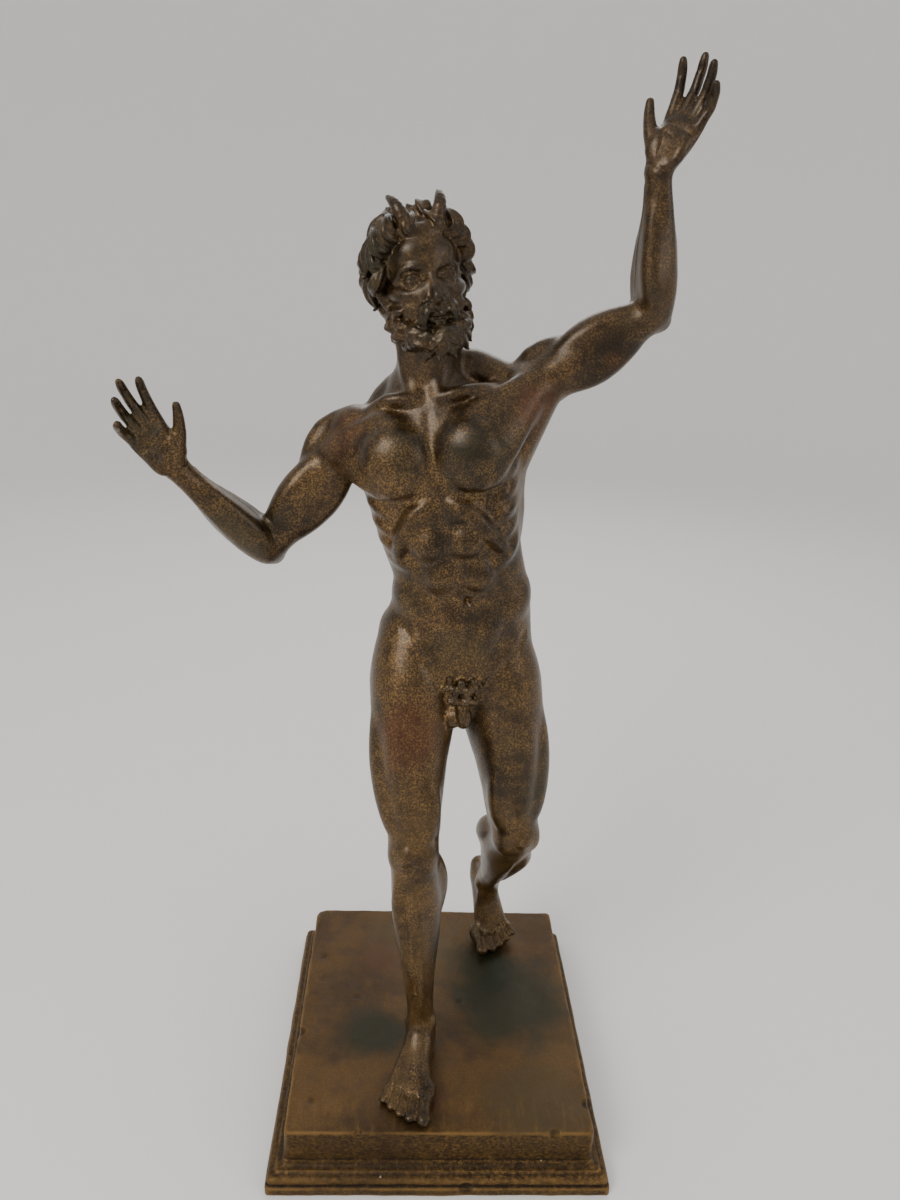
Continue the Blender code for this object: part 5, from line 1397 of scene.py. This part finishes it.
def mouldingTree():
    tree = bpy.data.node_groups.new("sweepMoulding", "GeometryNodeTree")
    newSocket(tree, "Start", "NodeSocketGeometry")
    newSocket(tree, "Profile", "NodeSocketObject")
    newSocket(tree, "Width", "NodeSocketFloat", plinth["slabWidth"])
    newSocket(tree, "Depth", "NodeSocketFloat", plinth["slabDepth"])
    newSocket(tree, "Corner", "NodeSocketFloat", plinth["corner"])
    newSocket(tree, "Material", "NodeSocketMaterial")
    newSocket(tree, "Moulding", "NodeSocketGeometry", out=True)
    given = addNode(tree, "NodeGroupInput").outputs
    outline = addNode(tree, "GeometryNodeCurvePrimitiveQuadrilateral",
                      {"Width": given["Width"], "Height": given["Depth"]})
    rounded = addNode(tree, "GeometryNodeFilletCurve", {"Curve": outline.outputs[0], "Count": 8,
                                                        "Radius": given["Corner"]}, mode="POLY")
    upright = addNode(tree, "GeometryNodeSetCurveNormal", {"Curve": rounded.outputs[0]}, mode="Z_UP")
    # The profile is swept as an upright line, then pushed out to both sides, which mitres the corners
    profile = addNode(tree, "GeometryNodeObjectInfo", {"Object": given["Profile"]})
    drawn = addNode(tree, "ShaderNodeSeparateXYZ",
                    {0: addNode(tree, "GeometryNodeInputPosition").outputs[0]})
    held = addNode(tree, "GeometryNodeCaptureAttribute", {"Geometry": profile.outputs["Geometry"]})
    held.capture_items.new("FLOAT", "Out")
    tree.links.new(drawn.outputs["X"], held.inputs["Out"])
    line = addNode(tree, "ShaderNodeCombineXYZ", {"Y": drawn.outputs["Y"]})
    upLine = addNode(tree, "GeometryNodeSetPosition", {"Geometry": held.outputs["Geometry"],
                                                       "Position": line.outputs[0]})
    swept = addNode(tree, "GeometryNodeCurveToMesh", {"Curve": upright.outputs[0],
                                                      "Profile Curve": upLine.outputs[0]})
    place = addNode(tree, "ShaderNodeSeparateXYZ",
                    {0: addNode(tree, "GeometryNodeInputPosition").outputs[0]})
    away = [mathNode(tree, "MULTIPLY", mathNode(tree, "SIGN", place.outputs[axis]),
                     held.outputs["Out"]) for axis in ("X", "Y")]
    push = addNode(tree, "ShaderNodeCombineXYZ", {"X": away[0], "Y": away[1]})
    pushed = addNode(tree, "GeometryNodeSetPosition", {"Geometry": swept.outputs[0],
                                                       "Offset": push.outputs[0]})
    solid = addNode(tree, "GeometryNodeRealizeInstances", {"Geometry": pushed.outputs[0]})
    coated = addNode(tree, "GeometryNodeSetMaterial", {"Geometry": solid.outputs[0],
                                                       "Material": given["Material"]})
    addNode(tree, "NodeGroupOutput", {"Moulding": coated.outputs[0]})
    return tree


# Outwards from the slab's face, and up from the underside.
def plinthProfile():
    over, fascia = plinth["overhang"], plinth["fasciaHeight"]
    torusTop = fascia + plinth["torusHeight"]
    coveTop = torusTop + plinth["coveHeight"]
    ledge, bulge = over * 0.52, over * 0.38
    rows = [(over, 0), (over, fascia), (over - 0.0012, fascia + 0.0008)]
    for k in range(11):
        turn = math.radians(-60 + 15 * k)
        rows.append((ledge + bulge * math.cos(turn),
                     fascia + plinth["torusHeight"] * (0.55 + 0.48 * math.sin(turn))))
    rows += [(ledge, torusTop + 0.0004), (ledge - 0.0008, torusTop + 0.0018)]
    for k in range(9):
        turn = math.radians(90 * k / 8)
        rows.append((0.0008 + (ledge - 0.0022) * (1 - math.sin(turn)),
                     torusTop + 0.002 + (plinth["coveHeight"] - 0.002) * (1 - math.cos(turn))))
    rows += [(0, coveTop + 0.0004), (0, plinthHeight - 0.0008), (-0.0008, plinthHeight)]
    return rows


def buildPlinth(material):
    rows = plinthProfile()
    curve = bpy.data.curves.new("plinthProfile", "CURVE")
    curve.dimensions = "2D"
    line = curve.splines.new("POLY")
    line.points.add(len(rows) - 1)
    for point, (out, up) in zip(line.points, rows):
        point.co = (out, -up, 0, 1)
    profile = linked("plinthProfile", curve)
    helper = linked("moulding", bpy.data.meshes.new("moulding"))
    sweep = helper.modifiers.new("Sweep", "NODES")
    sweep.node_group = mouldingTree()
    setInputs(sweep, Profile=profile, Width=plinth["slabWidth"], Depth=plinth["slabDepth"],
              Corner=plinth["corner"], Material=material)
    mesh = evaluated(helper)
    bpy.data.objects.remove(profile)
    # Close the top and the underside, then fuse into one even skin
    bm = bmesh.new()
    bm.from_mesh(mesh)
    bmesh.ops.remove_doubles(bm, verts=bm.verts, dist=1e-6)
    bmesh.ops.holes_fill(bm, edges=[edge for edge in bm.edges if edge.is_boundary])
    bmesh.ops.recalc_face_normals(bm, faces=bm.faces)
    bm.to_mesh(mesh)
    bm.free()
    helper.modifiers.remove(sweep)
    helper.data = mesh
    addFusing(helper, plinth["voxel"], 1)
    mesh = evaluated(helper)
    bpy.data.objects.remove(helper)
    roughenPlinth(mesh)
    hollowness(mesh, plinth["voxel"], plinth["hollows"])
    piece = finished(mesh, plinth["triangles"], "plinthBlock", material)
    print("plinth: finished with", len(piece.data.polygons), "faces")
    return piece


# Hand-worked waves over the casting, and a few knocks on its edges.
def roughenPlinth(mesh):
    chance = random.Random(plinth["seed"])
    points = pointsOf(mesh)
    push = np.zeros(len(points))
    for _ in range(plinth["waves"]):
        way = np.array([chance.uniform(-1, 1) for _ in range(3)])
        span = chance.uniform(0.012, 0.07)
        along = points @ (way / np.linalg.norm(way))
        push += np.sin(along * 2 * math.pi / span + chance.uniform(0, 6.3))
    push *= plinth["waviness"] / plinth["waves"] ** 0.5
    for side, front, level, reach, depth in plinth["knocks"]:
        spot = np.array([side, front, level])
        push -= depth * np.clip(1 - (np.linalg.norm(points - spot, axis=1) / reach) ** 2, 0, 1)
    points += normalsOf(mesh) * push[:, None]
    points[:, 2] = np.clip(points[:, 2], 0, plinthHeight)
    mesh.vertices.foreach_set("co", points.ravel())
    mesh.update()


# Finishes: layers of patina that both castings share.

def patinaGroup():
    tree = bpy.data.node_groups.new("bronzePatina", "ShaderNodeTree")
    for name, kind, default in (("Place", "NodeSocketVector", None), ("Hollow", "NodeSocketFloat", 0.0),
                                ("Dark", "NodeSocketColor", None), ("Brown", "NodeSocketColor", None),
                                ("Ochre", "NodeSocketColor", None),
                                ("Ochre Amount", "NodeSocketFloat", 0.5),
                                ("Cloud Size", "NodeSocketFloat", 14.0)):
        newSocket(tree, name, kind, default)
    for name, kind in (("Color", "NodeSocketColor"), ("Roughness", "NodeSocketFloat"),
                       ("Height", "NodeSocketFloat"), ("Worn", "NodeSocketFloat")):
        newSocket(tree, name, kind, out=True)
    given = addNode(tree, "NodeGroupInput").outputs
    place = given["Place"]
    clouds = noise(tree, place, given["Cloud Size"], 3, 0.5, 0.3)
    mottle = noise(tree, place, 95, 4, 0.55)
    flecks = noise(tree, place, 780, 5, 0.72)
    pits = noise(tree, place, 2100, 2, 0.5)
    recess = ramp(tree, given["Hollow"], 0.05, 0.8)
    crest = ramp(tree, given["Hollow"], -0.1, -0.8)

    # Brown ground, softly clouded with the dark of the first coat
    ground = mathNode(tree, "ADD", clouds, mathNode(tree, "MULTIPLY", mottle, 0.5))
    base = mixColour(tree, ramp(tree, ground, 0.50, 0.96), given["Dark"], given["Brown"])
    # Ochre grains in the pores, thicker in some places and in the hollows
    pores = ramp(tree, flecks, 0.45, 0.62)
    patches = ramp(tree, mathNode(tree, "ADD", mottle, mathNode(tree, "MULTIPLY", clouds, 0.7)),
                   0.60, 1.05, (0.15, 0.9))
    much = mathNode(tree, "ADD", patches, mathNode(tree, "MULTIPLY", recess, 0.35))
    share = mathNode(tree, "MULTIPLY", mathNode(tree, "MULTIPLY", pores, much),
                     given["Ochre Amount"], clamp=True)
    colour = mixColour(tree, share, base, given["Ochre"])
    # Rubbed crests show less of it and are glossier
    colour = mixColour(tree, mathNode(tree, "MULTIPLY", crest, 0.35), colour, given["Dark"])
    rough = mathNode(tree, "ADD", ramp(tree, mottle, 0.35, 0.65, (0.29, 0.39)),
                     mathNode(tree, "MULTIPLY", share, 0.16))
    rough = mathNode(tree, "SUBTRACT", rough, mathNode(tree, "MULTIPLY", crest, 0.05))
    tall = mathNode(tree, "ADD", mathNode(tree, "MULTIPLY", flecks, 0.8),
                    mathNode(tree, "MULTIPLY", pits, 0.30))
    tall = mathNode(tree, "ADD", tall, mathNode(tree, "MULTIPLY", mottle, 1.2))
    addNode(tree, "NodeGroupOutput", {"Color": colour, "Roughness": rough, "Height": tall,
                                      "Worn": crest})
    return tree


# A soft-edged patch round a point of the piece, from 1 in the middle to 0.
def spot(tree, place, centre, reach, wobble):
    away = addNode(tree, "ShaderNodeVectorMath", {0: place, 1: centre},
                   operation="DISTANCE").outputs["Value"]
    uneven = mathNode(tree, "MULTIPLY", mathNode(tree, "SUBTRACT", wobble, 0.5), reach)
    away = mathNode(tree, "ADD", away, uneven)
    return ramp(tree, away, reach, reach * 0.35)


def startMaterial(name, patina, finish):
    material = bpy.data.materials.new(name)
    material.use_nodes = True
    tree = material.node_tree
    tree.nodes.clear()
    place = addNode(tree, "ShaderNodeTexCoord").outputs["Object"]
    hollow = addNode(tree, "ShaderNodeAttribute", attribute_name="hollow").outputs["Fac"]
    coat = addNode(tree, "ShaderNodeGroup", node_tree=patina)
    tree.links.new(place, coat.inputs["Place"])
    tree.links.new(hollow, coat.inputs["Hollow"])
    for name, value in (("Dark", "dark"), ("Brown", "brown"), ("Ochre", "ochre"),
                        ("Ochre Amount", "ochreAmount"), ("Cloud Size", "cloudSize")):
        coat.inputs[name].default_value = finish[value]
    return material, tree, place, hollow, coat


def finishMaterial(tree, finish, colour, rough, height):
    bump = addNode(tree, "ShaderNodeBump", {"Strength": 0.55, "Distance": finish["bumpDepth"],
                                            "Height": height})
    shader = addNode(tree, "ShaderNodeBsdfPrincipled",
                     {"Base Color": colour, "Roughness": rough, "Metallic": finish["metallic"],
                      "Normal": bump.outputs[0], "Coat Weight": finish["coat"],
                      "Coat Roughness": 0.24, "Specular IOR Level": finish["specular"]})
    addNode(tree, "ShaderNodeOutputMaterial", {"Surface": shader.outputs[0]})


figureFinish = dict(
    dark=(0.015, 0.009, 0.004, 1),
    brown=(0.050, 0.028, 0.012, 1),
    ochre=(0.290, 0.165, 0.050, 1),
    legGold=(0.150, 0.084, 0.024, 1),
    red=(0.090, 0.022, 0.010, 1),
    green=(0.026, 0.027, 0.013, 1),
    ochreAmount=0.80,
    headOchre=0.42,
    cloudSize=16,
    # place in metres, and the reach of each reddish patch
    redSpots=(((-0.072, 0.0, 0.530), 0.030), ((0.048, -0.02, 0.560), 0.022),
              ((-0.030, -0.05, 0.330), 0.035), ((0.10, 0.0, 0.590), 0.018)),
    metallic=0.6,
    coat=0.25,
    specular=0.35,
    bumpDepth=0.00045,
)


def figureMaterial(patina):
    finish = figureFinish
    material, tree, place, _, coat = startMaterial("figureBronze", patina, finish)
    colour = coat.outputs["Color"]
    wobble = noise(tree, place, 45, 4, 0.6)
    level = addNode(tree, "ShaderNodeSeparateXYZ", {0: place}).outputs["Z"]
    # Fewer grains towards the head
    tree.links.new(ramp(tree, level, 0.50, 0.62, (finish["ochreAmount"], finish["headOchre"])),
                   coat.inputs["Ochre Amount"])
    # The legs are more golden than the trunk
    low = ramp(tree, level, 0.34, 0.20)
    gold = mathNode(tree, "MULTIPLY", low, ramp(tree, wobble, 0.34, 0.66))
    colour = mixColour(tree, mathNode(tree, "MULTIPLY", gold, 0.35), colour, finish["legGold"])
    for centre, reach in finish["redSpots"]:
        patch = mathNode(tree, "MULTIPLY", spot(tree, place, centre, reach, wobble), 0.38)
        colour = mixColour(tree, patch, colour, finish["red"])
    olive = ramp(tree, noise(tree, place, 9, 3, 0.5), 0.56, 0.70)
    tinge = mathNode(tree, "MULTIPLY", olive, 0.45)
    colour = mixColour(tree, tinge, colour, finish["green"])
    finishMaterial(tree, finish, colour, coat.outputs["Roughness"], coat.outputs["Height"])
    return material


plinthFinish = dict(
    dark=(0.036, 0.019, 0.007, 1),
    brown=(0.078, 0.041, 0.013, 1),
    ochre=(0.200, 0.112, 0.034, 1),
    green=(0.014, 0.018, 0.009, 1),
    olive=(0.058, 0.042, 0.018, 1),
    red=(0.088, 0.028, 0.012, 1),
    # the darkest brown: painted shade on the faces below the slab's top, and the darkening in the
    # mouldings' grooves
    deep=(0.012, 0.007, 0.003, 1),
    nick=(0.420, 0.330, 0.200, 1),
    ochreAmount=0.35,
    cloudSize=15,
    # place in metres on the slab's top, and the reach of each patch
    greenSpots=(((0.062, 0.005, 0.046), 0.070), ((0.040, 0.050, 0.046), 0.045),
                ((-0.055, -0.030, 0.046), 0.040)),
    oliveSpots=(((0.075, -0.095, 0.046), 0.055), ((-0.02, 0.08, 0.046), 0.060)),
    redSpots=(((-0.012, -0.095, 0.046), 0.022), ((-0.045, 0.06, 0.046), 0.030)),
    metallic=0.3,
    coat=0.0,
    specular=0.2,
    bumpDepth=0.0005,
)


def plinthMaterial(patina):
    finish = plinthFinish
    material, tree, place, hollow, coat = startMaterial("plinthBronze", patina, finish)
    colour = coat.outputs["Color"]
    wobble = noise(tree, place, 26, 5, 0.6, 0.5)
    clouded = noise(tree, place, 18, 3, 0.5)
    for spots, tint, much in ((finish["oliveSpots"], finish["olive"], 0.6),
                              (finish["redSpots"], finish["red"], 0.35),
                              (finish["greenSpots"], finish["green"], 0.8)):
        for centre, reach in spots:
            patch = mathNode(tree, "MULTIPLY", spot(tree, place, centre, reach, wobble), much)
            colour = mixColour(tree, patch, colour, tint)
    # Painted shade darkens the mouldings and the slab's faces below the top, unevenly under soft
    # clouds, and brushed streaks of ochre run along them
    axes = addNode(tree, "ShaderNodeSeparateXYZ", {0: place}).outputs
    faces = ramp(tree, axes["Z"], 0.0456, 0.0442)
    along = addNode(tree, "ShaderNodeMapping", {"Vector": place, "Scale": (1, 1, 1.7)}).outputs[0]
    streaks = noise(tree, along, 330, 6, 0.74, 0.2)
    # painted shade: the faces below the top made darker than the top
    shaded = mathNode(tree, "MULTIPLY", faces, ramp(tree, clouded, 0.36, 0.6, (0.45, 0.75)))
    colour = mixColour(tree, shaded, colour, finish["deep"])
    much = mathNode(tree, "MULTIPLY", faces, ramp(tree, clouded, 0.34, 0.66, (0.30, 0.80)))
    brushed = mathNode(tree, "MULTIPLY", much, ramp(tree, streaks, 0.40, 0.70))
    colour = mixColour(tree, brushed, colour, finish["ochre"])
    groove = mathNode(tree, "MULTIPLY", ramp(tree, hollow, 0.05, 0.5), 0.85)
    colour = mixColour(tree, groove, colour, finish["deep"])
    # Worn edges show the ochre
    edge = mathNode(tree, "MULTIPLY", coat.outputs["Worn"],
                    ramp(tree, wobble, 0.35, 0.55, (0.2, 0.7)))
    colour = mixColour(tree, edge, colour, finish["ochre"])
    # Short strokes towards the slab's front edge, and a few bright nicks
    across = addNode(tree, "ShaderNodeMapping", {"Vector": place, "Scale": (1, 0.22, 1)}).outputs[0]
    strokes = mathNode(tree, "MULTIPLY",
                       ramp(tree, noise(tree, across, 200, 4, 0.6), 0.50, 0.74, (0, 0.28)),
                       ramp(tree, axes["Y"], -0.088, -0.108))
    colour = mixColour(tree, strokes, colour, finish["ochre"])
    nicks = ramp(tree, noise(tree, place, 130, 2, 0.5), 0.775, 0.80, (0, 0.8))
    colour = mixColour(tree, nicks, colour, finish["nick"])
    rough = mathNode(tree, "ADD", coat.outputs["Roughness"], 0.10)
    finishMaterial(tree, finish, colour, rough, coat.outputs["Height"])
    return material


# The studio: a pale floor, soft light, and the camera at the photograph's angle.

studio = dict(
    # place, size, power and colour of each soft light
    lights=(((-1.3, -1.5, 1.7), 1.1, 34.0, (1.0, 0.97, 0.92)),
            ((1.5, -0.9, 1.0), 1.0, 5.0, (0.93, 0.96, 1.0)),
            ((0.2, 1.5, 1.6), 1.2, 9.0, (1.0, 1.0, 1.0))),
    aim=(0, 0, 0.42),
    floorReach=2.6,
    floorBend=1.4,
    wallTop=3.6,
    floor=(0.80, 0.79, 0.775, 1),
    world=(0.86, 0.855, 0.84, 1),
    worldPower=1.0,
)
camera = dict(place=(-0.0348, -0.6425, 0.6387), yaw=2.73, pitch=19.07, roll=2.55, lens=27.9)


# The floor turns up into a pale wall all round, far behind the camera.
def buildStudio():
    reach, bend, top = studio["floorReach"], studio["floorBend"], studio["wallTop"]
    rim = [(reach * share, 0) for share in (0.25, 0.6, 1)]
    for k in range(1, 13):
        turn = math.pi / 2 * k / 12
        rim.append((reach + bend * math.sin(turn), bend * (1 - math.cos(turn))))
    rim.append((reach + bend, top))
    bm = bmesh.new()
    sides = 96
    middle = bm.verts.new((0, 0, 0))
    turns = [2 * math.pi * k / sides for k in range(sides)]
    loops = [[bm.verts.new((out * math.cos(turn), out * math.sin(turn), up)) for turn in turns]
             for out, up in rim]
    for k in range(sides):
        after = (k + 1) % sides
        bm.faces.new((middle, loops[0][k], loops[0][after]))
        for low, high in zip(loops, loops[1:]):
            bm.faces.new((low[k], high[k], high[after], low[after]))
    floor = linked("floor", bpy.data.meshes.new("floor"))
    bm.to_mesh(floor.data)
    bm.free()
    floor.data.shade_smooth()
    material = bpy.data.materials.new("paleFloor")
    material.use_nodes = True
    shader = material.node_tree.nodes["Principled BSDF"]
    shader.inputs["Base Color"].default_value = studio["floor"]
    shader.inputs["Roughness"].default_value = 0.8
    floor.data.materials.append(material)
    world = bpy.data.worlds.new("studio")
    world.use_nodes = True
    sky = world.node_tree.nodes["Background"]
    sky.inputs["Color"].default_value = studio["world"]
    sky.inputs["Strength"].default_value = studio["worldPower"]
    bpy.context.scene.world = world
    for number, (place, size, power, colour) in enumerate(studio["lights"]):
        lamp = bpy.data.lights.new(f"softLight{number}", "AREA")
        lamp.size, lamp.energy, lamp.color = size, power, colour
        holder = linked(lamp.name, lamp)
        holder.location = place
        aim = Vector(studio["aim"]) - Vector(place)
        holder.rotation_euler = aim.to_track_quat("-Z", "Y").to_euler()


def buildCamera():
    yaw, pitch, roll = (math.radians(camera[name]) for name in ("yaw", "pitch", "roll"))
    ahead = Vector((math.sin(yaw) * math.cos(pitch), math.cos(yaw) * math.cos(pitch),
                    -math.sin(pitch)))
    across = Vector((math.cos(yaw), -math.sin(yaw), 0))
    above = across.cross(ahead)
    turned = across * math.cos(roll) + above * math.sin(roll)
    risen = above * math.cos(roll) - across * math.sin(roll)
    holder = linked("camera", bpy.data.cameras.new("camera"))
    turn = Matrix((turned, risen, -ahead)).transposed()
    holder.matrix_world = Matrix.Translation(camera["place"]) @ turn.to_4x4()
    holder.data.lens = camera["lens"]
    holder.data.sensor_width = 36
    holder.data.clip_start = 0.01
    bpy.context.scene.camera = holder


buildCamera()
buildStudio()
patina = patinaGroup()
faun = buildFigure(figureMaterial(patina))
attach(faun, "root")
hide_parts("faun_figure")
block = buildPlinth(plinthMaterial(patina))
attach(block, "root")
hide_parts("plinth")
